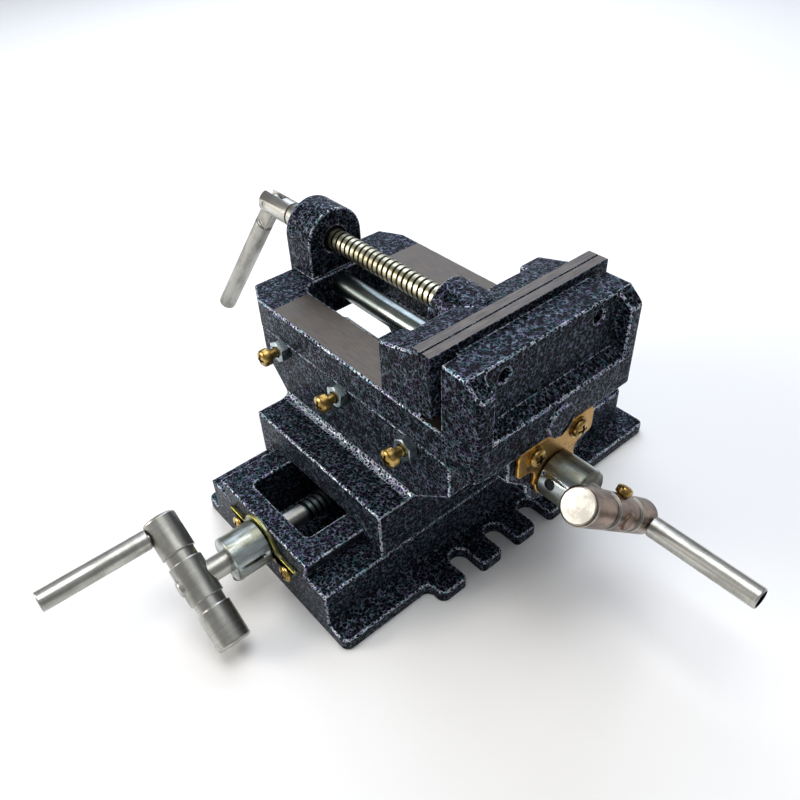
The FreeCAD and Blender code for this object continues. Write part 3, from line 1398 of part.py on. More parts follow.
def check_and_export():
    """Stop on any failed object, then write one STEP file per piece."""
    doc.recompute()
    for obj in doc.Objects:
        if "Invalid" in obj.State or "Error" in obj.State:
            raise RuntimeError(f"{obj.Name} ({obj.Label}) is {obj.State}")
    os.makedirs("parts", exist_ok=True)
    for body in [o for o in doc.Objects if o.TypeId == "PartDesign::Body"]:
        shape = body.Shape
        if shape.isNull() or not shape.isValid() or not shape.Solids:
            raise RuntimeError(f"{body.Label} has no valid shape")
        shape.exportStep(f"parts/{body.Label}.step")
        print(f"{body.Label}: {len(shape.Solids)} solids, {shape.Volume / 1000:.2f} cm3")


build()
check_and_export()
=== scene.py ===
"""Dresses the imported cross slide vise: castings, jaws, screws, cranks, fasteners and finishes.

Lengths in the classes are in millimetres, in the CAD's frame. Meshes are made in metres.
"""

import json
import logging
from dataclasses import dataclass, field, replace
from enum import Enum
from math import cos, hypot, pi, radians, sin, sqrt

import bmesh
import bpy
from bmesh.types import BMEdge, BMesh, BMFace
from bpy.types import Material, Node, NodeSocket, NodeTree, Object
from mathutils import Euler, Matrix, Vector

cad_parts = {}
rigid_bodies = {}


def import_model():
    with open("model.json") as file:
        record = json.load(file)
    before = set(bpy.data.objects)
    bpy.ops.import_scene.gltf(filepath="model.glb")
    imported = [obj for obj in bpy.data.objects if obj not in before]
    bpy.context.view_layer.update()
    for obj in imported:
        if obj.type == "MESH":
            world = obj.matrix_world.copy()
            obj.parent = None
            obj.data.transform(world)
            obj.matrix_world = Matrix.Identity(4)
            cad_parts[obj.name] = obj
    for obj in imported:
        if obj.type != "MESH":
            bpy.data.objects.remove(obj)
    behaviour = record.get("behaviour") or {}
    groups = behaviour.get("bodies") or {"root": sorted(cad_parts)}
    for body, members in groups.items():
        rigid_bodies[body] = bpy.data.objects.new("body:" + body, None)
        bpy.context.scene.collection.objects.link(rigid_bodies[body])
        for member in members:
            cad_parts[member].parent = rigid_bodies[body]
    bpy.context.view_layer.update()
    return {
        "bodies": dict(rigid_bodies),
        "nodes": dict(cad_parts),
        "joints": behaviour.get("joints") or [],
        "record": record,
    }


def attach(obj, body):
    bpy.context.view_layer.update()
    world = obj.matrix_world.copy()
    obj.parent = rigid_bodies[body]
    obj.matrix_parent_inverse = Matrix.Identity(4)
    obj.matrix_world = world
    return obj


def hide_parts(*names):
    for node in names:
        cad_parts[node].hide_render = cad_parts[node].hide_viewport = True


LOG = logging.getLogger("vise")
MM = 0.001
UP = Vector((0, 0, 1))
# past every face, in millimetres
FAR = 999.0
# edges that turn by more degrees than this are rounded, and shade sharp
SHARP = 32.0
# the Mix node's sockets for colours
MIX_A, MIX_B, MIX_COLOUR = 6, 7, 2
TIMES = {"operation": "MULTIPLY"}
# the shader nodes that are used most
PLACE, NOISE, BUMP = "ShaderNodeTexCoord", "ShaderNodeTexNoise", "ShaderNodeBump"
MATH, VECTOR = "ShaderNodeMath", "ShaderNodeVectorMath"
RANGE, RAMP = "ShaderNodeMapRange", "ShaderNodeValToRGB"

Station = tuple[float, float]
Point = tuple[float, float, float]
Inputs = dict[str | int, object]
Stops = tuple[tuple[float, str], ...]


# Nodes


def linear(hex_code: str) -> tuple[float, float, float, float]:
    """Turns an sRGB hex colour into linear RGBA.

    Args:
        hex_code: six hex digits, such as "2b2f3a".

    Returns:
        The linear colour with alpha 1.
    """
    parts = [int(hex_code[i : i + 2], 16) / 255 for i in (0, 2, 4)]
    lin = [c / 12.92 if c <= 0.04045 else ((c + 0.055) / 1.055) ** 2.4 for c in parts]
    return (lin[0], lin[1], lin[2], 1.0)


def add_node(
    tree: NodeTree, kind: str, settings: dict | None = None, inputs: Inputs | tuple = (),
    stops: Stops = (),
) -> Node:
    """Adds a node with its settings and links.

    Args:
        tree: the node tree.
        kind: the node's type name.
        settings: the node's own properties.
        inputs: values to set and sockets to link, by socket name or index, or in the sockets'
            own order. A node stands for its first output.
        stops: a colour ramp's positions and hex colours.

    Returns:
        The node.
    """
    node = tree.nodes.new(kind)
    for name, value in (settings or {}).items():
        setattr(node, name, value)
    for name, value in inputs.items() if isinstance(inputs, dict) else enumerate(inputs):
        source = value.outputs[0] if isinstance(value, Node) else value
        if isinstance(source, NodeSocket):
            tree.links.new(source, node.inputs[name])
        else:
            node.inputs[name].default_value = source
    for n, (position, colour) in enumerate(stops):
        elements = node.color_ramp.elements
        stop = elements[n] if n < len(elements) else elements.new(position)
        stop.position, stop.color = position, linear(colour)
    return node


def per_mm(size: float) -> float:
    """Texture scale, in metres, that gives features of a size in millimetres."""
    return 1 / (size * MM)


def open_tree(name: str, sockets: dict[str, str]) -> tuple[NodeTree, Node]:
    """Starts a geometry node tree that gives one geometry.

    Args:
        name: the tree's name.
        sockets: its inputs' names, each with its kind. Material is added to them.

    Returns:
        The tree, and the node that holds its inputs.
    """
    tree = bpy.data.node_groups.new(name, "GeometryNodeTree")
    face = tree.interface
    face.new_socket("Geometry", in_out="OUTPUT", socket_type="NodeSocketGeometry")
    for title, kind in (sockets | {"Material": "Material"}).items():
        face.new_socket(title, in_out="INPUT", socket_type=f"NodeSocket{kind}")
    return tree, add_node(tree, "NodeGroupInput")


def close_tree(tree: NodeTree, shape: Node, given: Node, chosen: Node | bool = True) -> None:
    """Ends a geometry node tree: its instances made real, its finish set.

    Args:
        tree: the tree.
        shape: the node that gives the geometry.
        given: the node that holds the tree's inputs.
        chosen: which faces take the finish.
    """
    real = add_node(tree, "GeometryNodeRealizeInstances", inputs=(shape,))
    dressed = add_node(
        tree, "GeometryNodeSetMaterial",
        inputs={"Geometry": real, "Selection": chosen, "Material": given.outputs["Material"]},
    )
    add_node(tree, "NodeGroupOutput", inputs=(dressed,))


# Finishes


@dataclass(frozen=True)
class Finish:
    """A surface finish: a name, and a pattern that feeds one shader."""

    name: str

    def pattern(self, tree: NodeTree) -> Inputs:
        """Builds the pattern's nodes.

        Args:
            tree: the material's node tree.

        Returns:
            The Principled shader's inputs.
        """
        raise NotImplementedError

    def build(self) -> Material:
        """Makes the material.

        Returns:
            The material, with its shader fed by the pattern.
        """
        material = bpy.data.materials.new(self.name)
        material.use_nodes = True
        tree = material.node_tree
        tree.nodes.clear()
        shader = add_node(tree, "ShaderNodeBsdfPrincipled", inputs=self.pattern(tree))
        add_node(tree, "ShaderNodeOutputMaterial", inputs={"Surface": shader})
        return material


@dataclass(frozen=True)
class HammertonePaint(Finish):
    """Hammertone enamel, sprayed thick on raw sand-cast iron.

    As it dries, the solvent draws the aluminium flakes into a crooked silvery net round nearly
    black dimples, about two millimetres apart. The net breaks up in places and drifts between
    teal and lavender, and the whole has a wet gloss. shares are the sizes of the net's bends,
    of its gaps and of the tint's drift, over its spacing, and each relief is a strength and a
    depth.
    """

    spacing: float = 1.75
    shares: Point = (0.7, 1.2, 1.7)
    sand_mm: float = 6.0
    ground: str = "020305"
    tints: Stops = ((0.38, "37505b"), (0.5, "727c8c"), (0.62, "494561"))
    strand: Station = (0.03, 0.16)
    patches: Station = (0.38, 0.6)
    strength: Station = (0.12, 1.0)
    metal: float = 0.4
    roughness: float = 0.3
    gloss: float = 0.03
    sand_relief: Station = (0.6, 0.5)
    net_relief: Station = (0.5, 0.2)

    def pattern(self, tree: NodeTree) -> Inputs:
        """Builds the net, its tints and the dimples.

        Args:
            tree: the material's node tree.

        Returns:
            The Principled shader's inputs.
        """
        place = add_node(tree, PLACE).outputs["Object"]
        # the net's bends and gaps, the drift of its tint, and the sand's grain
        bends, patch, drift, sand = (
            add_node(tree, NOISE, inputs={"Vector": place, "Scale": per_mm(size), "Detail": detail})
            for size, detail in (
                *((self.spacing * share, 1.0) for share in self.shares), (self.sand_mm, 3.0),
            )
        )
        bent = add_node(
            tree, VECTOR, {"operation": "MULTIPLY_ADD"},
            (bends.outputs["Color"], (self.spacing * MM,) * 3, place),
        )
        depth = add_node(
            tree, "ShaderNodeTexVoronoi", {"feature": "DISTANCE_TO_EDGE"},
            {"Vector": bent, "Scale": per_mm(self.spacing)},
        )
        net = add_node(tree, RANGE, inputs=(depth, *self.strand, 1.0, 0.0))
        strength = add_node(tree, RANGE, inputs=(patch, *self.patches, *self.strength))
        shown = add_node(tree, MATH, TIMES, (net, strength))
        tint = add_node(tree, RAMP, inputs=(drift,), stops=self.tints)
        colour = add_node(
            tree, "ShaderNodeMix", {"data_type": "RGBA"},
            {"Factor": shown, MIX_A: linear(self.ground), MIX_B: tint},
        ).outputs[MIX_COLOUR]
        normal = None
        for height, (bump, deep) in ((sand, self.sand_relief), (net, self.net_relief)):
            under = {"Normal": normal} if normal else {}
            normal = add_node(
                tree, BUMP,
                inputs={"Height": height, "Strength": bump, "Distance": deep * MM, **under},
            )
        flakes = add_node(tree, MATH, TIMES, (shown, self.metal))
        return {"Base Color": colour, "Metallic": flakes, "Roughness": self.roughness,
                "Specular IOR Level": self.gloss, "Normal": normal}


@dataclass(frozen=True)
class Metal(Finish):
    """Bare or plated metal, with marks that stand out and stains that change its gloss.

    The roughness changes by dulling, from one end of the stains' span to the other. relief is
    the marks' strength and their depth.
    """

    metallic: float = 1.0
    roughness: float = 0.3
    span: Station = (0.3, 0.7)
    dulling: Station = (-0.06, 0.1)
    relief: Station = (0.3, 0.03)

    def sheen(self, tree: NodeTree, shade: Node, stops: Stops, stains: Node, marks: Node) -> Inputs:
        """Builds what all metals share.

        Args:
            tree: the material's node tree.
            shade: what the colour follows.
            stops: the colours along it.
            stains: what the gloss follows.
            marks: what stands out.

        Returns:
            The Principled shader's inputs.
        """
        colour = add_node(tree, RAMP, inputs=(shade,), stops=stops)
        rough = [self.roughness + change for change in self.dulling]
        gloss = add_node(tree, RANGE, inputs=(stains, *self.span, *rough))
        strength, depth = self.relief
        normal = add_node(
            tree, BUMP, inputs={"Height": marks, "Strength": strength, "Distance": depth * MM}
        )
        return {"Base Color": colour, "Metallic": self.metallic, "Roughness": gloss, "Normal": normal}


@dataclass(frozen=True)
class MachinedFace(Metal):
    """Iron or hardened steel, milled or ground, then dulled by oil and handling.

    It gives a soft brown-grey sheen, with fine cutter lines and faint stains.
    """

    pale: str = "574f45"
    dark: str = "3f3831"
    across: Point = (0.06, 1.0, 1.0)
    fade: Station = (0.14, 0.36)
    line_mm: float = 0.5
    stain_mm: float = 12.0
    metallic: float = 0.75
    roughness: float = 0.42
    relief: Station = (0.4, 0.03)

    def pattern(self, tree: NodeTree) -> Inputs:
        """Builds the cutter lines and the stains.

        Args:
            tree: the material's node tree.

        Returns:
            The Principled shader's inputs.
        """
        place = add_node(tree, PLACE).outputs["Object"]
        drawn = add_node(tree, "ShaderNodeMapping", inputs={"Vector": place, "Scale": self.across})
        lines, stains = (
            add_node(tree, NOISE, inputs={
                "Vector": spot, "Scale": per_mm(size), "Detail": detail, "Roughness": rough,
            })
            for spot, size, detail, rough in (
                (drawn, self.line_mm, 3.0, 0.5), (place, self.stain_mm, 5.0, 0.65),
            )
        )
        both = add_node(tree, MATH, TIMES, (lines, stains))
        stops = tuple(zip(self.fade, (self.dark, self.pale)))
        return self.sheen(tree, both, stops, stains, lines)


@dataclass(frozen=True)
class TurnedSteel(Metal):
    """Steel turned on a lathe, then nickel or zinc plated, and handled.

    It gives a satin sheen with strong light and dark, fine tool marks that run round the piece
    and make rings on its ends, and faint stains drawn out along it. The marks are drawn coarser
    than they are, so that they show.
    """

    pale: str = "bfbfb9"
    dark: str = "9b9a94"
    centre: Point = (0.0, 0.0, 0.0)
    axis: Point = (1.0, 0.0, 0.0)
    drawn_out: Point = (0.3, 1.0, 1.0)
    mark_mm: float = 0.55
    stain_mm: float = 7.0
    ringing: float = 0.25
    contrast: float = 0.1
    span: Station = (0.35, 0.65)
    dulling: Station = (0.1, 0.0)
    relief: Station = (0.6, 0.008)

    def on(self, piece: str, centre: Point, axis: Point) -> "TurnedSteel":
        """The same finish, turned about a piece's own axis.

        Args:
            piece: the piece's name.
            centre: a point on its axis.
            axis: the axis's direction.

        Returns:
            The finish for that piece.
        """
        return replace(self, name=f"{self.name}_{piece}", centre=centre, axis=axis)

    def pattern(self, tree: NodeTree) -> Inputs:
        """Builds the tool marks and the stains.

        Args:
            tree: the material's node tree.

        Returns:
            The Principled shader's inputs.
        """
        turn = Vector(self.axis).rotation_difference(Vector((1, 0, 0))).to_matrix()
        own = add_node(
            tree, "ShaderNodeMapping",
            inputs={"Vector": add_node(tree, PLACE).outputs["Object"],
                    "Rotation": turn.to_euler(), "Location": turn @ Vector(self.centre) * -MM},
        )
        along = add_node(tree, "ShaderNodeSeparateXYZ", inputs=(own,))
        arm = add_node(tree, VECTOR, TIMES, (own, (0, 1, 1)))
        radius = add_node(tree, VECTOR, {"operation": "LENGTH"}, (arm,)).outputs["Value"]
        section = add_node(tree, "ShaderNodeCombineXYZ", inputs=(along, radius))
        drawn = add_node(tree, VECTOR, TIMES, (own, self.drawn_out))
        marks, stains = (
            add_node(tree, NOISE, inputs={
                "Vector": spot, "Scale": per_mm(size), "Detail": detail, "Roughness": rough,
            })
            for spot, size, detail, rough in (
                (section, self.mark_mm, 2.0, 0.5), (drawn, self.stain_mm, 4.0, 0.6),
            )
        )
        shade = add_node(tree, MATH, {"operation": "MULTIPLY_ADD"}, (marks, self.ringing, stains))
        middle = 0.5 + self.ringing / 2
        stops = ((middle - self.contrast, self.dark), (middle + self.contrast, self.pale))
        return self.sheen(tree, shade, stops, stains, marks)


@dataclass(frozen=True)
class PressedSheet(Metal):
    """Sheet steel, pressed, zinc plated and yellow passivated.

    The passivation's thin film drifts in hue over a few millimetres, and dulls where it is thick.
    """

    hues: Stops = ((0.35, "8d6a35"), (0.5, "b58c4b"), (0.66, "a88352"))
    drift_mm: float = 5.0
    grain_mm: float = 0.9
    dulling: Station = (-0.06, 0.12)

    def pattern(self, tree: NodeTree) -> Inputs:
        """Builds the drift of the hue and the rolled grain.

        Args:
            tree: the material's node tree.

        Returns:
            The Principled shader's inputs.
        """
        place = add_node(tree, PLACE).outputs["Object"]
        drift, grain = (
            add_node(tree, NOISE, inputs={
                "Vector": place, "Scale": per_mm(size), "Detail": detail, "Distortion": twist,
            })
            for size, detail, twist in ((self.drift_mm, 3.0, 0.6), (self.grain_mm, 2.0, 0.0))
        )
        return self.sheen(tree, drift, self.hues, drift, grain)


@dataclass(frozen=True)
class FloorPaint(Finish):
    """Pale matt studio floor."""

    colour: str = "f3f3f2"

    def pattern(self, tree: NodeTree) -> Inputs:
        """The floor's plain shader inputs."""
        return {"Base Color": linear(self.colour), "Roughness": 0.9}


PAINT = HammertonePaint("hammertone_paint")
# on rounded edges the paint takes a paler ground and a denser, brighter net of flakes: a painted
# highlight along the edges, where the paint is also drawn thin
PAINT_EDGE_HIGHLIGHT = replace(
    PAINT, name="hammertone_paint_on_edges", ground="1c232d", strength=(0.6, 1.0), roughness=0.26,
    tints=((0.38, "8fb0be"), (0.5, "e8eef6"), (0.62, "aaa7cc")),
)
WAYS = MachinedFace("milled_iron_ways")
# the jaw plates are ground along their length, and paler than the ways
JAW_STEEL = MachinedFace("ground_jaw_steel", pale="625b54", dark="3c3732", across=(1.0, 0.05, 1.0))
NICKEL = TurnedSteel("nickel_plated_steel")
# the handle's plating is dulled by the hand
HANDLE = TurnedSteel("nickel_worn_by_hand", pale="a2a19b", dark="7b7a74", roughness=0.34)
# the collars' nickel drifts between a bluish pale and an olive dark in places; the bluish tint is a
# painted reflection of the bluish room
COLLAR = TurnedSteel("tarnished_nickel", pale="b9c4c6", dark="77786a", roughness=0.26)
# the upper crank's bar is tinted brown, a painted reflection of a brown surface below it
BROWN_REFLECTED_NICKEL = TurnedSteel("nickel_browned_by_oil", pale="8d7664", dark="5f4a3c")
# the guide rod is polished, and mirrors the dark castings beside it
ROD = TurnedSteel(
    "polished_guide_rod", pale="98a19e", dark="626a68", centre=(0.0, -9.0, 96.5), stain_mm=12.0,
    roughness=0.22,
)
# rolled threads shine on their crests; their roots are painted near black, as painted shade in the
# grooves
THREAD_CREST = TurnedSteel("rolled_thread_crests", pale="c9c5aa", dark="8d8870")
THREAD_ROOT_SHADE = TurnedSteel("thread_roots_in_painted_shade", pale="1b1a13", dark="0b0a07", roughness=0.5)
LEAD_CREST = TurnedSteel("lead_screw_crests", pale="8c9694", dark="5c6667", roughness=0.32)
LEAD_ROOT_SHADE = TurnedSteel("lead_screw_roots_in_painted_shade", pale="15191a", dark="090b0c", roughness=0.5)
# small zinc plated fasteners: brassy where passivated yellow, cool where passivated blue
BRASSY = TurnedSteel(
    "yellow_passivated_screws", pale="c0a362", dark="82683a", roughness=0.24, stain_mm=3.0
)
NUT_STEEL = TurnedSteel(
    "blue_passivated_nuts", pale="b9c6c8", dark="76868a", roughness=0.26, stain_mm=3.0
)
# the feed nuts are turned from bronze, and look warm and dull
BRONZE = TurnedSteel("machined_bronze", pale="a88b55", dark="7d6238", roughness=0.35)
# set screws are blacked in oil, and look nearly black with a soft shine
BLACKED = TurnedSteel("blackened_steel", pale="3b3b3d", dark="222224", roughness=0.42)
# the upper plate is golden and the lower one greenish; the golden plate's rounded edges are painted
# brighter, a painted highlight, and the greenish plate's edges more olive
GOLD_SHEET = PressedSheet("golden_passivated_sheet")
GOLD_SHEET_EDGE_HIGHLIGHT = PressedSheet(
    "sheet_edges_with_painted_highlight", hues=((0.35, "a9772f"), (0.5, "dcab58"), (0.66, "c79648"))
)
GREEN_SHEET = PressedSheet(
    "greenish_passivated_sheet", hues=((0.35, "6d7058"), (0.5, "96987a"), (0.66, "8a8456"))
)
GREEN_SHEET_EDGE = PressedSheet(
    "olive_sheet_edges", hues=((0.35, "6b6a2c"), (0.5, "9a9440"), (0.66, "b0a756"))
)
FLOOR = FloorPaint("pale_floor")


# Meshes


def frame_of(origin: Point, x_axis: Vector, z_axis: Vector = UP) -> Matrix:
    """Makes the matrix of a piece's own frame.

    Args:
        origin: the frame's origin, in millimetres.
        x_axis: its X direction.
        z_axis: the direction that its Z comes nearest to.

    Returns:
        The matrix, in metres.
    """
    x = x_axis.normalized()
    y = z_axis.cross(x).normalized()
    matrix = Matrix((x, y, x.cross(y))).transposed().to_4x4()
    matrix.translation = Vector(origin) * MM
    return matrix


def loft(rings: list[list[Point]]) -> BMesh:
    """Joins rings of points into a closed mesh. A ring of one point is a tip.

    Args:
        rings: the rings, from one end to the other.

    Returns:
        The mesh.
    """
    bm = bmesh.new()
    loops = [[bm.verts.new(Vector(point) * MM) for point in ring] for ring in rings]
    for low, high in zip(loops, loops[1:]):
        count = max(len(low), len(high))
        for i in range(count):
            j = (i + 1) % count
            corners = [low[i % len(low)], low[j % len(low)], high[j % len(high)], high[i % len(high)]]
            bm.faces.new(dict.fromkeys(corners))
    for ring in (loops[0], loops[-1]):
        if len(ring) > 1:
            bm.faces.new(ring)
    bmesh.ops.recalc_face_normals(bm, faces=bm.faces)
    return bm


def lathe(stations: list[Station], segments: int = 40) -> BMesh:
    """Turns a profile about X.

    Args:
        stations: places along X with radii, from one end to the other.
        segments: sides of the turned shape.

    Returns:
        A closed mesh.
    """
    turns = [2 * pi * i / segments for i in range(segments)]
    return loft([
        [(x, r * cos(a), r * sin(a)) for a in (turns if r > 0 else turns[:1])]
        for x, r in stations
    ])


def prism(outline: list[Station], low: float, high: float) -> BMesh:
    """Extrudes an outline in the YZ plane along X.

    Args:
        outline: the outline's corners, as Y and Z.
        low: where it starts along X.
        high: where it ends along X.

    Returns:
        A closed mesh.
    """
    return loft([[(x, y, z) for y, z in outline] for x in (low, high)])


def slice_at(bm: BMesh, point: Vector, normal: Vector) -> None:
    """Divides a mesh's faces along a plane.

    Args:
        bm: the mesh.
        point: a point of the plane, in metres.
        normal: the plane's normal.
    """
    everything = bm.verts[:] + bm.edges[:] + bm.faces[:]
    bmesh.ops.bisect_plane(bm, geom=everything, dist=1e-7, plane_co=point, plane_no=normal)


class Cut(Enum):
    """How one solid changes another."""

    TAKE_AWAY = "DIFFERENCE"
    KEEP_SHARED = "INTERSECT"


def bake(obj: Object) -> None:
    """Bakes an object's modifiers into its mesh and removes them.

    Args:
        obj: the object.
    """
    graph = bpy.context.evaluated_depsgraph_get()
    mesh = bpy.data.meshes.new_from_object(
        obj.evaluated_get(graph), preserve_all_data_layers=True, depsgraph=graph
    )
    old = obj.data
    obj.modifiers.clear()
    obj.data = mesh
    bpy.data.meshes.remove(old)


def combine(obj: Object, tool: Object, cut: Cut) -> None:
    """Cuts one solid with another and removes the tool.

    Args:
        obj: the object that changes.
        tool: the other solid.
        cut: how it changes.
    """
    modifier = obj.modifiers.new("cut", "BOOLEAN")
    modifier.operation, modifier.object, modifier.solver = cut.value, tool, "EXACT"
    bake(obj)
    bpy.data.meshes.remove(tool.data)


def soften(obj: Object, width: float, weighted: bool = False) -> None:
    """Rounds an object's sharp edges.

    Args:
        obj: the object.
        width: the rounding's width.
        weighted: whether each edge takes the share of the width that its weight says.
    """
    modifier = obj.modifiers.new("rounding", "BEVEL")
    modifier.width, modifier.segments = width * MM, 3
    modifier.limit_method = "WEIGHT" if weighted else "ANGLE"
    modifier.angle_limit = radians(SHARP)
    modifier.use_clamp_overlap = False
    if len(obj.data.materials) > 1:
        modifier.material = 1
    # large faces keep their own normals, so that the rounding alone shades as round
    flat = obj.modifiers.new("normals", "WEIGHTED_NORMAL")
    flat.mode, flat.weight, flat.keep_sharp = "FACE_AREA", 100, True
    bake(obj)


def grow(obj: Object, tree: NodeTree, sizes: dict) -> None:
    """Runs a node tree on an object and leaves the result as its plain mesh.

    Args:
        obj: the object.
        tree: the node tree.
        sizes: the tree's inputs, by name.
    """
    modifier = obj.modifiers.new(tree.name, "NODES")
    modifier.node_group = tree
    for item in tree.interface.items_tree:
        if item.name in sizes:
            modifier[item.identifier] = sizes[item.name]
    bake(obj)


@dataclass
class Workshop:
    """What every sub-assembly needs: the frame, the finishes and how a piece is handed over."""

    frame: dict
    built: dict[Finish, Material] = field(default_factory=dict)

    def material(self, finish: Finish) -> Material:
        """Gives a finish's material, built when it is first asked for.

        Args:
            finish: the finish.

        Returns:
            The material.
        """
        if finish not in self.built:
            self.built[finish] = finish.build()
        return self.built[finish]

    def form(self, bm: BMesh, name: str, *finishes: Finish, angle: float = SHARP) -> Object:
        """Turns a bmesh into a smooth-shaded object at the origin, with its sharp edges kept.

        Args:
            bm: the mesh, in metres. It is freed.
            name: the object's name.
            finishes: the finishes of its material slots.
            angle: edges sharper than this, in degrees, stay sharp.

        Returns:
            The object, in the scene.
        """
        for face in bm.faces:
            face.smooth = True
        mesh = bpy.data.meshes.new(name)
        bm.to_mesh(mesh)
        bm.free()
        mesh.set_sharp_from_angle(angle=radians(angle))
        for finish in finishes:
            mesh.materials.append(self.material(finish))
        obj = bpy.data.objects.new(name, mesh)
        bpy.context.scene.collection.objects.link(obj)
        return obj

    def hand_over(self, obj: Object, body: str, slot: str, nodes: tuple[str, ...] = ()) -> None:
        """Puts a finished piece on its body.

        Args:
            obj: the piece.
            body: the CAD body that it rides on.
            slot: the record's material slot; not used.
            nodes: CAD nodes that it stands for.
        """
        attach(obj, body)
        if nodes:
            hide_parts(*nodes)
        LOG.info("%s on %s, %d faces", obj.name, body, len(obj.data.polygons))

    def repaint(self, node: str, finish: Finish) -> None:
        """Gives a CAD node another finish.

        Args:
            node: the node's name.
            finish: its finish.
        """
        for slot in self.frame["nodes"][node].material_slots:
            slot.material = self.material(finish)
        LOG.info("%s in %s", node, finish.name)

    def merged_copy(self, node: str) -> BMesh:
        """Copies a CAD node's mesh, its loose triangles merged into whole faces.

        Args:
            node: the node's name.

        Returns:
            The copy.
        """
        flat = radians(0.6)
        bm = bmesh.new()
        bm.from_mesh(self.frame["nodes"][node].data)
        bmesh.ops.remove_doubles(bm, verts=bm.verts, dist=1e-6)
        bmesh.ops.dissolve_limit(bm, angle_limit=flat, verts=bm.verts, edges=bm.edges)
        return bm


@dataclass(frozen=True)
class SubAssembly:
    """A part of the vise, made in the workshop."""

    shop: Workshop

    def make(self) -> None:
        """Builds and dresses its pieces."""
        raise NotImplementedError


@dataclass(frozen=True)
class Zone:
    """A box, in millimetres, and the way that faces in it must look to belong to it."""

    facing: Point
    low: Point = (-FAR, -FAR, -FAR)
    high: Point = (FAR, FAR, FAR)
    spread: float = 0.98

    def holds(self, face: BMFace) -> bool:
        """Tells whether a face belongs to the zone.

        Args:
            face: the face.

        Returns:
            True where its middle is in the box and it looks the zone's way.
        """
        middle = face.calc_center_median() / MM
        inside = all(a <= m <= b for a, m, b in zip(self.low, middle, self.high))
        return inside and face.normal.dot(Vector(self.facing).normalized()) > self.spread


@dataclass(frozen=True)
class DressedSolid(SubAssembly):
    """A CAD solid in its own shape, with rounded edges and a finish for each kind of face.

    foot_gap is how far its lowest face is lifted out of the plane that it slides in, and
    share_of_room how much of the room to the next sharp edge a rounding may take.
    """

    node: str
    body: str
    slot: str
    finish: Finish
    edge_finish: Finish | None = None
    bare_finish: Finish | None = None
    rounding: float = 0.35
    inner: float = 0.25
    bare: tuple[Zone, ...] = ()
    bare_from: float | None = None
    wear_and_highlight: tuple[Zone, ...] = ()
    foot_gap: float = 0.0
    share_of_room: float = 0.4
    ample: float = 50.0

    def room(self, edge: BMEdge, sharp: set[BMEdge]) -> float:
        """Finds how far a sharp edge is from those across its faces.

        Args:
            edge: the edge.
            sharp: the solid's sharp edges.

        Returns:
            The distance in millimetres, or ample where nothing is near.
        """
        middle = (edge.verts[0].co + edge.verts[1].co) / 2
        run = (edge.verts[1].co - edge.verts[0].co).normalized()
        nearest = self.ample
        for face in edge.link_faces:
            for other in face.edges:
                if other not in sharp or set(other.verts) & set(edge.verts):
                    continue
                start, end = other.verts[0].co, other.verts[1].co
                along = end - start
                share = (middle - start).dot(along) / max(along.length_squared, 1e-18)
                arm = start + along * min(1.0, max(0.0, share)) - middle
                # an edge that lies ahead of this one rather than beside it takes no room
                if arm.length > 0 and abs(arm.normalized().dot(run)) < 0.5:
                    nearest = min(nearest, arm.length / MM)
        return nearest

    def weigh(self, bm: BMesh) -> None:
        """Gives each sharp edge the share of the rounding that it has room for.

        Args:
            bm: the solid's mesh.
        """
        weights = bm.edges.layers.float.new("bevel_weight_edge")
        sharp = {
            edge for edge in bm.edges
            if len(edge.link_faces) == 2 and edge.calc_face_angle(0) > radians(SHARP)
        }
        for edge in sharp:
            width = self.rounding if edge.is_convex else min(self.rounding, self.inner)
            space = self.room(edge, sharp) * self.share_of_room
            edge[weights] = min(width, space) / self.rounding

    def make(self) -> None:
        """Builds and dresses the solid."""
        bm = self.shop.merged_copy(self.node)
        lowest = min(vert.co.z for vert in bm.verts)
        for vert in bm.verts:
            if vert.co.z < lowest + self.foot_gap * MM / 2:
                vert.co.z += self.foot_gap * MM
        if self.bare_from is not None:
            slice_at(bm, Vector((self.bare_from * MM, 0, 0)), Vector((1, 0, 0)))
        finishes = [f for f in (self.finish, self.edge_finish, self.bare_finish) if f]
        for face in bm.faces:
            if any(zone.holds(face) for zone in self.bare):
                face.material_index = len(finishes) - 1
            else:
                # faces in these zones take the edge finish: on the saddle, a painted highlight on its
                # wall fillets
                face.material_index = int(any(zone.holds(face) for zone in self.wear_and_highlight))
        self.weigh(bm)
        obj = self.shop.form(bm, f"{self.node}_dressed", *finishes)
        soften(obj, self.rounding, weighted=True)
        self.shop.hand_over(obj, self.body, self.slot, (self.node,))


# Castings and jaws


@dataclass(frozen=True)
class Castings(SubAssembly):
    """The four painted iron castings, with the bed's milled ways."""

    rounding: float = 0.9
    way_level: float = 104.5
    way_start: float = -51.0
    way_end: float = 66.3
    near: float = 0.4
    wall_foot: float = 54.5
    wall_half: float = 46.6
    middle: float = -9.0
    fillet: float = 3.1
    oil_film: float = 0.04

    def make(self) -> None:
        """Builds the castings."""
        # the saddle's walls meet its plate in fillets, which take the edge finish's bright flakes as a
        # painted highlight, standing in for the key light's reflection there
        highlit_fillets = tuple(
            Zone((0, side, 1), (-FAR, wall - self.fillet, self.wall_foot),
                 (FAR, wall + self.fillet, self.wall_foot + self.fillet), spread=0.77)
            for side in (-1, 1)
            for wall in [self.middle + side * self.wall_half]
        )
        ways = Zone((0, 0, 1), (self.way_start, -FAR, self.way_level - self.near),
                    (self.way_end, FAR, self.way_level + self.near))
        extras = {
            "base": {},
            "saddle": {"wear_and_highlight": highlit_fillets, "foot_gap": self.oil_film},
            "bed": {"bare_finish": WAYS, "bare": (ways,), "bare_from": self.way_start},
            "moving_jaw": {},
        }
        for name, extra in extras.items():
            # each casting's rounded edges take the brighter edge finish, a painted highlight
            DressedSolid(
                self.shop, f"{name}_casting", "vise_bed" if name == "bed" else name,
                "hammertone_paint", PAINT, PAINT_EDGE_HIGHLIGHT, rounding=self.rounding, **extra
            ).make()


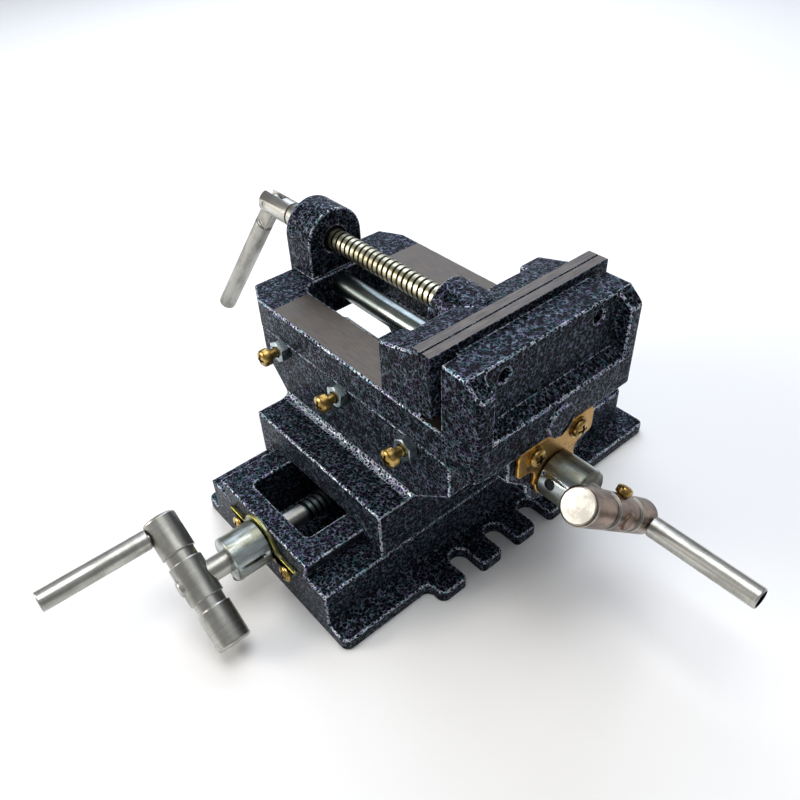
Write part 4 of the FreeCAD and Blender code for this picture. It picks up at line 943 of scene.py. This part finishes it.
@dataclass(frozen=True)
class JawPlates(SubAssembly):
    """The two hardened plates: ground on top and where they grip, painted over elsewhere."""

    edge: float = 0.45

    def make(self) -> None:
        """Builds both plates and blackens their screws."""
        for word, body, grip in (("fixed", "vise_bed", -1), ("moving", "moving_jaw", 1)):
            DressedSolid(
                self.shop, f"{word}_jaw_plate", body, "ground_steel", PAINT, PAINT, JAW_STEEL,
                rounding=self.edge, bare=(Zone((0, 0, 1)), Zone((grip, 0, 0))),
            ).make()
            self.shop.repaint(f"{word}_jaw_screws", BLACKED)


# Threads


@dataclass(frozen=True)
class Thread:
    """A right-hand thread's ridge round X, swept along a spiral by a node tree.

    The core is turned down to the root between its ends, less run_in at each. slack and beside
    are how far past those its vertices and faces may lie, and near how far from the crest.
    """

    start: float
    end: float
    root: float
    crest: float
    pitch: float
    around: int = 32
    run_in: float = 0.3
    slack: float = 0.01
    near: float = 0.05
    beside: float = 0.2

    def tree(self) -> NodeTree:
        """Builds the tree that sweeps a tapered ridge along a spiral.

        Returns:
            The tree.
        """
        sizes = dict.fromkeys(("Root Radius", "Depth", "Pitch", "Turns"), "Float")
        group, given = open_tree("thread_ridge", sizes | {"Around": "Int"})
        root, depth, pitch, turns, around = given.outputs[:5]
        height = add_node(group, MATH, TIMES, (pitch, turns))
        spiral = add_node(
            group, "GeometryNodeCurveSpiral",
            inputs={"Resolution": around, "Rotations": turns, "Start Radius": root,
                    "End Radius": root, "Height": height, "Reverse": True},
        )
        upright = add_node(group, "GeometryNodeSetCurveNormal", {"mode": "Z_UP"}, {"Curve": spiral})
        size = add_node(group, "ShaderNodeCombineXYZ", inputs=(depth, pitch))
        # the ridge's corners, as shares of its depth and pitch: foot, crest, crest, foot
        shares = ((0.1, 0.3, 0), (-1, 0.07, 0), (-1, -0.07, 0), (0.1, -0.3, 0))
        corners = {
            f"Point {n}": add_node(group, VECTOR, TIMES, (size, share))
            for n, share in enumerate(shares, 1)
        }
        section = add_node(
            group, "GeometryNodeCurvePrimitiveQuadrilateral", {"mode": "POINTS"}, corners
        )
        # the ridge fades out over its first and last turn
        place = add_node(group, "GeometryNodeSplineParameter")
        rest = add_node(group, MATH, {"operation": "SUBTRACT"}, (1.0, place))
        nearer = add_node(group, MATH, {"operation": "MINIMUM"}, (place, rest))
        turns_in = add_node(group, MATH, TIMES, (nearer, turns))
        fade = add_node(group, RANGE, inputs={"Value": turns_in, "To Min": 0.05})
        ridge = add_node(
            group, "GeometryNodeCurveToMesh",
            inputs={"Curve": upright, "Profile Curve": section, "Scale": fade, "Fill Caps": True},
        )
        close_tree(group, ridge, given)
        return group

    def ridge(self, name: str, where: Matrix, finish: Finish, shop: Workshop) -> Object:
        """Makes the ridge.

        Args:
            name: the object's name.
            where: the screw's frame, with X along the screw.
            finish: the ridge's finish.
            shop: the workshop.

        Returns:
            The ridge, its mesh in place.
        """
        obj = shop.form(bmesh.new(), name)
        grow(obj, self.tree(), {
            "Root Radius": self.root * MM, "Depth": (self.crest - self.root) * MM,
            "Pitch": self.pitch * MM, "Turns": (self.end - self.start) / self.pitch,
            "Around": self.around, "Material": shop.material(finish),
        })
        bm = bmesh.new()
        bm.from_mesh(obj.data)
        onto_x = Matrix.Translation((self.start * MM, 0, 0)) @ Matrix.Rotation(pi / 2, 4, "Y")
        bm.transform(where @ onto_x)
        bmesh.ops.recalc_face_normals(bm, faces=bm.faces)
        bm.to_mesh(obj.data)
        bm.free()
        obj.data.set_sharp_from_angle(angle=radians(SHARP))
        return obj

    def turn_down(self, bm: BMesh, where: Matrix) -> None:
        """Turns a CAD screw down to the root along the thread, and gives that slot 1.

        Args:
            bm: the screw's merged mesh.
            where: the screw's frame, with X along the screw.
        """
        low, high = self.start + self.run_in, self.end - self.run_in
        for place in (low, high):
            slice_at(bm, where @ Vector((place * MM, 0, 0)), where.col[0].xyz)
        home = where.inverted()
        for vert in bm.verts:
            spot = home @ vert.co
            radius = hypot(spot.y, spot.z) / MM
            threaded = low - self.slack < spot.x / MM < high + self.slack
            if threaded and abs(radius - self.crest) < self.near:
                share = self.root / self.crest
                vert.co = where @ Vector((spot.x, spot.y * share, spot.z * share))
        # the turned-down core takes slot 1, which the callers give a near black finish as painted
        # shade in the thread's grooves
        for face in bm.faces:
            spot = home @ face.calc_center_median()
            inside = low - self.beside < spot.x / MM < high + self.beside
            face.material_index = int(inside and spot.yz.length / MM < self.crest)


# Small fasteners


class Drive(Enum):
    """How a head is driven: its crossing slots, their half length and their half width.

    The lengths are shares of the head's radius.
    """

    SLOT = (1, 1.3, 0.17)
    CROSS = (2, 0.62, 0.15)


@dataclass(frozen=True)
class RoundHead:
    """A small screw's head, drawn along X with its top at -X and its seat at 0.

    Its dome takes up the lesser of dome_shares of its radius and of its height, and its slots
    go down by slot_share of its height, or by deepest.
    """

    radius: float
    height: float
    drive: Drive
    shank: float
    length: float
    rim: float = 0.3
    arc_steps: int = 6
    dome_shares: Station = (0.45, 0.7)
    slot_share: float = 0.6
    deepest: float = 1.6

    def make(self, name: str, shop: Workshop) -> Object:
        """Builds the domed head, its slots and its plain shank.

        Args:
            name: the object's name.
            shop: the workshop.

        Returns:
            The screw.
        """
        r, h = self.radius, self.height
        dome = min(r * self.dome_shares[0], h * self.dome_shares[1])
        arc = [radians(90 * n / self.arc_steps) for n in range(self.arc_steps + 1)]
        stations = [(-h + dome * (1 - cos(a)), r * sin(a)) for a in arc]
        stations += [(-self.rim, r), (0.0, r - self.rim), (0.0, self.shank), (self.length, self.shank)]
        screw = shop.form(lathe(stations), name, BRASSY, BLACKED)
        slots, long, half = self.drive.value
        long, half = r * long, r * half
        depth = min(self.deepest, h * self.slot_share)
        for n in range(slots):
            y, z = (half, long) if n else (long, half)
            outline = [(-y, -z), (y, -z), (y, z), (-y, z)]
            tool = shop.form(prism(outline, -h - 1, -h + depth), f"{name}_slot_{n}")
            combine(screw, tool, Cut.TAKE_AWAY)
        for face in screw.data.polygons:
            floor = face.center.x / MM > -h + depth - 0.05 and face.normal.x < -0.9
            face.material_index = int(floor and face.center.yz.length < long * MM)
        screw.data.set_sharp_from_angle(angle=radians(SHARP))
        return screw


@dataclass(frozen=True)
class HexNut:
    """A hexagon nut with chamfered corners, drawn along X from -thickness to 0.

    face_share is how much of the flats' width its round faces keep, and fall the chamfer's
    depth as a share of how far the corners stand out. The cutters pass its ends by over.
    """

    flats: float
    thickness: float
    bore: float
    face_share: float = 0.95
    fall: float = 0.7
    over: float = 0.01
    sharp: float = 25.0

    def make(self, name: str, shop: Workshop) -> Object:
        """Builds the nut.

        Args:
            name: the object's name.
            shop: the workshop.

        Returns:
            The nut.
        """
        corner, half, t = self.flats / sqrt(3), self.flats / 2, self.thickness
        turns = [radians(60 * i + 30) for i in range(6)]
        hexagon = [(corner * cos(a), corner * sin(a)) for a in turns]
        nut = shop.form(prism(hexagon, -t, 0), name, NUT_STEEL)
        fall, face = (corner - half) * self.fall, half * self.face_share
        wide = corner + self.over
        rim = [(-t - self.over, face), (-t + fall, wide), (-fall, wide), (self.over, face)]
        combine(nut, shop.form(lathe(rim, segments=72), f"{name}_rim"), Cut.KEEP_SHARED)
        hole = lathe([(-t - 1, self.bore), (1, self.bore)])
        combine(nut, shop.form(hole, f"{name}_hole"), Cut.TAKE_AWAY)
        # the chamfers meet the flats at a low angle, and still shade sharp
        nut.data.set_sharp_from_angle(angle=radians(self.sharp))
        return nut


@dataclass(frozen=True)
class Row:
    """Several alike pieces in a line, placed by a node tree."""

    count: int
    step: Point

    def tree(self) -> NodeTree:
        """Builds the tree that repeats a template along a line.

        Returns:
            The tree.
        """
        sockets = {"Template": "Geometry", "Count": "Int", "Step": "Vector"}
        group, given = open_tree("row_of_pieces", sockets)
        template, count, step = given.outputs[:3]
        line = add_node(
            group, "GeometryNodeMeshLine", {"mode": "OFFSET"}, {"Count": count, "Offset": step}
        )
        copies = add_node(
            group, "GeometryNodeInstanceOnPoints", inputs={"Points": line, "Instance": template}
        )
        # slot 0 holds the row's own finish, and other slots keep theirs
        index = add_node(group, "GeometryNodeInputMaterialIndex")
        plain = add_node(
            group, "FunctionNodeCompare", {"data_type": "INT", "operation": "EQUAL"},
            {"A": index, "B": 0},
        )
        close_tree(group, copies, given, plain)
        return group

    def repeat(self, template: Object, where: Matrix, material: Material) -> Object:
        """Repeats an object's mesh along the line.

        Args:
            template: the object, drawn in its own frame. It becomes the row.
            where: the first piece's frame.
            material: the row's finish.

        Returns:
            The row.
        """
        template.data.transform(where)
        grow(template, self.tree(), {
            "Count": self.count, "Step": Vector(self.step) * MM, "Material": material,
        })
        return template


@dataclass(frozen=True)
class GibRow(SubAssembly):
    """Three gib screws and their lock nuts along one side of a slide.

    first is a screw's axis at the casting's face, and stand the gap from there to its head.
    """

    node: str
    first: Point
    step: Point
    out: Point
    count: int = 3
    stand: float = 8.6
    head: RoundHead = RoundHead(radius=4.3, height=5.0, drive=Drive.CROSS, shank=2.4, length=14.0)
    nut: HexNut = HexNut(flats=10.0, thickness=4.5, bore=3.05)
    thread: Thread = Thread(start=0.3, end=13.6, root=2.4, crest=3.0, pitch=1.0, around=20)

    def make(self) -> None:
        """Builds the row's screws and its nuts."""
        face = frame_of(self.first, -Vector(self.out))
        seat = face @ Matrix.Translation((-self.stand * MM, 0, 0))
        brassy, steel = self.shop.material(BRASSY), self.shop.material(NUT_STEEL)
        row = Row(self.count, self.step)
        screw = self.head.make(f"{self.node}_screws_turned", self.shop)
        ridge = self.thread.ridge(f"{self.node}_thread", Matrix(), BRASSY, self.shop)
        both = bmesh.new()
        both.from_mesh(screw.data)
        both.from_mesh(ridge.data)
        both.to_mesh(screw.data)
        both.free()
        bpy.data.meshes.remove(ridge.data)
        screws = row.repeat(screw, seat, brassy)
        self.shop.hand_over(screws, "saddle", "brassy_zinc", (f"{self.node}_screws",))
        nuts = row.repeat(self.nut.make(f"{self.node}_nuts_turned", self.shop), face, steel)
        self.shop.hand_over(nuts, "saddle", "bright_zinc", (f"{self.node}_nuts",))


# The clamp screw and its handle


@dataclass(frozen=True)
class ClampDrive(SubAssembly):
    """The screw that pushes the moving jaw, with its forked head and folding handle."""

    axis: Point = (0.0, -9.0, 121.0)
    fork_turn: float = -13.0
    pivot: Point = (-115.5, -9.0, 121.0)
    tilt: float = 30.0
    thread: Thread = Thread(start=-88.5, end=21.9, root=5.2, crest=6.75, pitch=3.5, around=48)

    def make(self) -> None:
        """Builds the core, the thread, the pins and the handle."""
        shop, along = self.shop, (1, 0, 0)
        where = Matrix.Translation(Vector(self.axis) * MM)
        bm = shop.merged_copy("clamp_screw")
        self.thread.turn_down(bm, where)
        steel = NICKEL.on("clamp_screw", self.axis, along)
        # the core between the ridges takes the near black root finish, painted shade in the grooves
        core = shop.form(bm, "clamp_screw_core", steel, THREAD_ROOT_SHADE)
        shop.hand_over(core, "clamp_screw", "screw_zinc", ("clamp_screw",))
        crest = THREAD_CREST.on("clamp_screw", self.axis, along)
        ridge = self.thread.ridge("clamp_screw_thread", where, crest, shop)
        shop.hand_over(ridge, "clamp_screw", "screw_zinc")
        lean = Matrix.Rotation(radians(self.fork_turn), 3, "X")
        tilt = radians(self.tilt)
        bar = lean @ Vector((-sin(tilt), 0, -cos(tilt)))
        wear_and_highlight = HANDLE.on("clamp_handle", self.pivot, tuple(bar))
        DressedSolid(shop, "clamp_handle", "clamp_handle", "bright_zinc", wear_and_highlight).make()
        shop.repaint("handle_pin", NICKEL)
        shop.repaint("screw_retaining_pin", BLACKED)


# The lead screws, their collars and cranks


@dataclass(frozen=True)
class Feed(SubAssembly):
    """One lead screw with its retaining plate, collar and crank.

    origin is where the screw's axis meets the casting's face, out points away from the casting,
    and bar runs from the shaft to the grip.
    """

    name: str
    mount: str
    origin: Point
    out: Point
    bar: Point
    reach: float
    thread: Thread
    plate: Finish
    plate_edge: Finish
    screw_half: float
    screw_rise: float
    screw_seat: float
    head_out: Point
    oil_hole: Point
    bar_finish: TurnedSteel = NICKEL
    hump: float = 13.2
    plate_rounding: float = 0.45
    throw: float = 27.0
    bar_radius: float = 8.1
    collar_radius: float = 11.0
    collar_sharp: float = 30.0
    hole_radius: float = 1.0
    hole_depth: float = 2.0
    plate_head: RoundHead = RoundHead(radius=4.2, height=2.4, drive=Drive.CROSS, shank=2.0, length=4.0)
    crank_head: RoundHead = RoundHead(radius=3.4, height=4.0, drive=Drive.SLOT, shank=2.0, length=2.0)

    def at(self, distance: float) -> Point:
        """A point on the axis, that far out from the casting's face."""
        return tuple(Vector(self.origin) + Vector(self.out) * distance)

    def make_screw(self) -> None:
        """Builds the lead screw's core and thread."""
        name, body = f"{self.name}_lead_screw", f"{self.name}_screw"
        where = frame_of(self.origin, Vector(self.out))
        bm = self.shop.merged_copy(name)
        self.thread.turn_down(bm, where)
        steel = NICKEL.on(f"{self.name}_shaft", self.origin, self.out)
        # the shaft's end takes the bar's finish, which on the upper feed is tinted brown as a painted
        # reflection
        end = self.bar_finish.on(f"{self.name}_shaft_end", self.origin, self.out)
        for face in bm.faces:
            if (where.inverted() @ face.calc_center_median()).x > self.reach * MM:
                face.material_index = 2
        # the core between the ridges takes the near black root finish, painted shade in the grooves
        core = self.shop.form(bm, f"{name}_core", steel, LEAD_ROOT_SHADE, end)
        self.shop.hand_over(core, body, "bright_zinc", (name,))
        crest = LEAD_CREST.on(self.name, self.origin, self.out)
        ridge = self.thread.ridge(f"{name}_thread", where, crest, self.shop)
        self.shop.hand_over(ridge, body, "bright_zinc")

    def make_plate(self) -> None:
        """Builds the retaining plate, its hump drawn in to the size seen, and its screws."""
        node = f"{self.name}_retaining_plate"
        bm = self.shop.merged_copy(node)
        centre = Vector(self.origin) * MM
        for vert in bm.verts:
            arm = vert.co - centre
            along = Vector(self.out) * arm.dot(Vector(self.out))
            reach = (arm - along).length / MM
            if arm.z < 0 and reach > self.hump:
                vert.co = centre + along + (arm - along) * (self.hump / reach)
        # the plate's rounded edges take the edge finish; on the upper plate it is painted brighter as
        # a painted highlight
        obj = self.shop.form(bm, f"{node}_pressed", self.plate, self.plate_edge)
        soften(obj, self.plate_rounding)
        self.shop.hand_over(obj, self.mount, "yellow_zinc", (node,))
        inward = -Vector(self.out)
        side = UP.cross(inward).normalized()
        first = Vector(self.at(self.screw_seat)) - side * self.screw_half + UP * self.screw_rise
        head = self.plate_head.make(f"{self.name}_plate_screws_turned", self.shop)
        screws = Row(2, tuple(side * self.screw_half * 2)).repeat(
            head, frame_of(tuple(first), inward), self.shop.material(BRASSY)
        )
        self.shop.hand_over(screws, self.mount, "brassy_zinc", (f"{self.name}_plate_screws",))

    def make_collar(self) -> None:
        """Builds the collar, with its oil hole, and its set screw."""
        node = f"{self.name}_collar"
        # the collar's bluish pale tint is a painted reflection
        steel = COLLAR.on(node, self.origin, self.out)
        bm = self.shop.merged_copy(node)
        obj = self.shop.form(bm, f"{node}_turned", steel, angle=self.collar_sharp)
        distance, y, z = self.oil_hole
        outward = Vector((0, y, z)) if self.out[0] else Vector((y, 0, z))
        floor = outward.normalized() * (self.collar_radius - self.hole_depth)
        spot = Vector(self.at(distance)) + floor
        sides = [(x, self.hole_radius) for x in (0, 2 * self.hole_depth)]
        drill = self.shop.form(lathe(sides, segments=20), f"{node}_drill")
        drill.data.transform(frame_of(tuple(spot), outward, Vector(self.out)))
        combine(obj, drill, Cut.TAKE_AWAY)
        self.shop.hand_over(obj, f"{self.name}_screw", "bright_zinc", (node,))
        self.shop.repaint(f"{self.name}_collar_set_screw", BLACKED)

    def make_crank(self) -> None:
        """Builds the crank bar, its set screw and the grip."""
        name, body = f"{self.name}_crank", f"{self.name}_screw"
        bar_at = self.at(self.reach)
        steel = self.bar_finish.on(f"{name}_bar", bar_at, self.bar)
        bright = NICKEL.on(f"{name}_bar_ends", bar_at, self.bar)
        ends = tuple(Zone(tuple(Vector(self.bar) * side)) for side in (-1, 1))
        DressedSolid(
            self.shop, f"{name}_bar", body, "bright_zinc", steel, bare_finish=bright, bare=ends
        ).make()
        seat = Vector(bar_at) + Vector(self.head_out) * self.bar_radius
        head = self.crank_head.make(f"{name}_set_screw_turned", self.shop)
        head.data.transform(frame_of(tuple(seat), -Vector(self.head_out), Vector(self.out)))
        self.shop.hand_over(head, body, "brassy_zinc", (f"{name}_set_screw",))
        grip_at = tuple(Vector(bar_at) + Vector(self.bar) * self.throw)
        grip = NICKEL.on(f"{self.name}_grip", grip_at, self.out)
        DressedSolid(
            self.shop, f"{name}_grip", f"{self.name}_grip", "bright_zinc", grip, rounding=0.2
        ).make()
        self.shop.repaint(f"{self.name}_grip_pin", NICKEL)

    def make(self) -> None:
        """Builds the whole feed."""
        self.make_screw()
        self.make_plate()
        self.make_collar()
        self.make_crank()


@dataclass(frozen=True)
class LowerFeed(Feed):
    """The feed in the base, which moves the saddle along Y."""

    name: str = "lower"
    mount: str = "base"
    origin: Point = (0.0, -107.0, 26.0)
    out: Point = (0.0, -1.0, 0.0)
    bar: Point = (-0.8425, 0.0, 0.5388)
    reach: float = 36.0
    thread: Thread = Thread(start=-195.0, end=-22.0, root=5.0, crest=6.0, pitch=3.0)
    plate: Finish = GREEN_SHEET
    plate_edge: Finish = GREEN_SHEET_EDGE
    screw_half: float = 20.0
    screw_rise: float = -5.5
    screw_seat: float = 2.0
    head_out: Point = (-0.5388, 0.0, -0.8425)
    oil_hole: Point = (6.5, 1.0, 0.2)


@dataclass(frozen=True)
class UpperFeed(Feed):
    """The feed in the bed, which moves it along X; its bar is tinted brown as a painted reflection of
    a brown surface below it.
    """

    name: str = "upper"
    mount: str = "vise_bed"
    origin: Point = (84.7, -9.0, 67.0)
    out: Point = (1.0, 0.0, 0.0)
    bar: Point = (0.0, 0.749, -0.6626)
    reach: float = 32.8
    thread: Thread = Thread(start=-61.8, end=-22.0, root=5.0, crest=6.0, pitch=3.0)
    plate: Finish = GOLD_SHEET
    plate_edge: Finish = GOLD_SHEET_EDGE_HIGHLIGHT
    screw_half: float = 13.1
    screw_rise: float = 17.5
    screw_seat: float = 2.8
    head_out: Point = (0.0, 0.6626, 0.749)
    oil_hole: Point = (4.0, -0.82, 0.58)
    bar_finish: TurnedSteel = BROWN_REFLECTED_NICKEL
    hump: float = 11.4


@dataclass(frozen=True)
class HiddenParts(SubAssembly):
    """Pieces that keep the CAD's own mesh, most of them out of sight."""

    finishes: tuple[tuple[str, Finish], ...] = (
        ("saddle_gib", JAW_STEEL), ("bed_gib", JAW_STEEL),
        ("saddle_feed_nut", BRONZE), ("bed_feed_nut", BRONZE),
        ("saddle_nut_screws", BLACKED), ("bed_nut_screws", BLACKED),
        ("upper_plate_washers", BRASSY),
    )

    def make(self) -> None:
        """Gives them their finishes."""
        for node, finish in self.finishes:
            self.shop.repaint(node, finish)


# Studio


@dataclass(frozen=True)
class SoftLight:
    """A square light panel, its place and size in metres, aimed at the object."""

    name: str
    at: Point
    size: float
    power: float
    colour: str

    def hang(self) -> None:
        """Hangs the panel."""
        data = bpy.data.lights.new(self.name, "AREA")
        data.shape, data.size, data.energy = "SQUARE", self.size, self.power
        data.color = linear(self.colour)[:3]
        obj = bpy.data.objects.new(self.name, data)
        obj.rotation_euler = (-Vector(self.at)).to_track_quat("-Z", "Y").to_euler()
        obj.location = self.at
        bpy.context.scene.collection.objects.link(obj)


@dataclass(frozen=True)
class Studio(SubAssembly):
    """Camera, lights and floor.

    The camera's place is in millimetres and its angles in degrees, its clip range and the
    floor in metres.
    """

    camera_at: Point = (228.2, -203.9, 307.2)
    yaw: float = 141.36
    pitch: float = -40.16
    roll: float = 2.98
    lens: float = 35.0
    sensor: float = 36.0
    clip: Station = (0.01, 50.0)
    floor_half: float = 3.0
    lights: tuple[SoftLight, ...] = (
        SoftLight("key_panel", (-0.65, -0.95, 0.48), 0.5, 10.0, "fff8f0"),
        SoftLight("sky_panel", (-0.75, 0.6, 0.85), 0.9, 9.0, "dfeaff"),
        SoftLight("overhead_panel", (0.0, 0.0, 1.4), 0.9, 10.0, "ffffff"),
    )
    room: Stops = ((0.05, "cfc8c2"), (0.6, "f2f5fa"))
    room_strength: float = 0.4

    def camera(self) -> None:
        """Stands the camera where the photograph was taken."""
        data = bpy.data.cameras.new("photo_camera")
        data.lens, data.sensor_width, data.sensor_fit = self.lens, self.sensor, "HORIZONTAL"
        data.clip_start, data.clip_end = self.clip
        obj = bpy.data.objects.new("photo_camera", data)
        aim = Euler((radians(90 + self.pitch), 0, radians(self.yaw - 90))).to_matrix().to_4x4()
        stand = Matrix.Translation(Vector(self.camera_at) * MM)
        obj.matrix_world = stand @ aim @ Matrix.Rotation(-radians(self.roll), 4, "Z")
        bpy.context.scene.collection.objects.link(obj)
        bpy.context.scene.camera = obj

    def surroundings(self) -> None:
        """Makes a dim room, paler above than below, for the metal to mirror."""
        world = bpy.data.worlds.new("studio")
        bpy.context.scene.world = world
        world.use_nodes = True
        tree = world.node_tree
        tree.nodes.clear()
        way = add_node(tree, PLACE).outputs["Generated"]
        height = add_node(tree, "ShaderNodeSeparateXYZ", inputs=(way,)).outputs["Z"]
        colour = add_node(tree, RAMP, inputs=(height,), stops=self.room)
        sky = add_node(tree, "ShaderNodeBackground", inputs=(colour, self.room_strength))
        add_node(tree, "ShaderNodeOutputWorld", inputs={"Surface": sky})

    def make(self) -> None:
        """Builds the studio."""
        self.camera()
        self.surroundings()
        for light in self.lights:
            light.hang()
        bm = bmesh.new()
        bmesh.ops.create_grid(bm, x_segments=1, y_segments=1, size=self.floor_half)
        self.shop.form(bm, "floor", FLOOR)
        bpy.context.scene.view_settings.view_transform = "Standard"


def main() -> None:
    """Builds the vise's look and the studio."""
    logging.basicConfig(level=logging.INFO, format="%(name)s: %(message)s")
    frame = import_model()
    shop = Workshop(frame)
    for part in (
        Studio(shop), Castings(shop), JawPlates(shop), ClampDrive(shop),
        GibRow(shop, "bed_gib", first=(-45.5, -55.6, 85.15), step=(46.5, 0, 0), out=(0, -1, 0)),
        GibRow(shop, "saddle_gib", first=(-48.0, -53.0, 32.75), step=(0, 44, 0), out=(-1, 0, 0)),
        LowerFeed(shop), UpperFeed(shop),
        DressedSolid(shop, "guide_rod", "vise_bed", "bright_zinc", ROD), HiddenParts(shop),
    ):
        LOG.info("making %s", type(part).__name__)
        part.make()


if __name__ == "__main__":
    main()
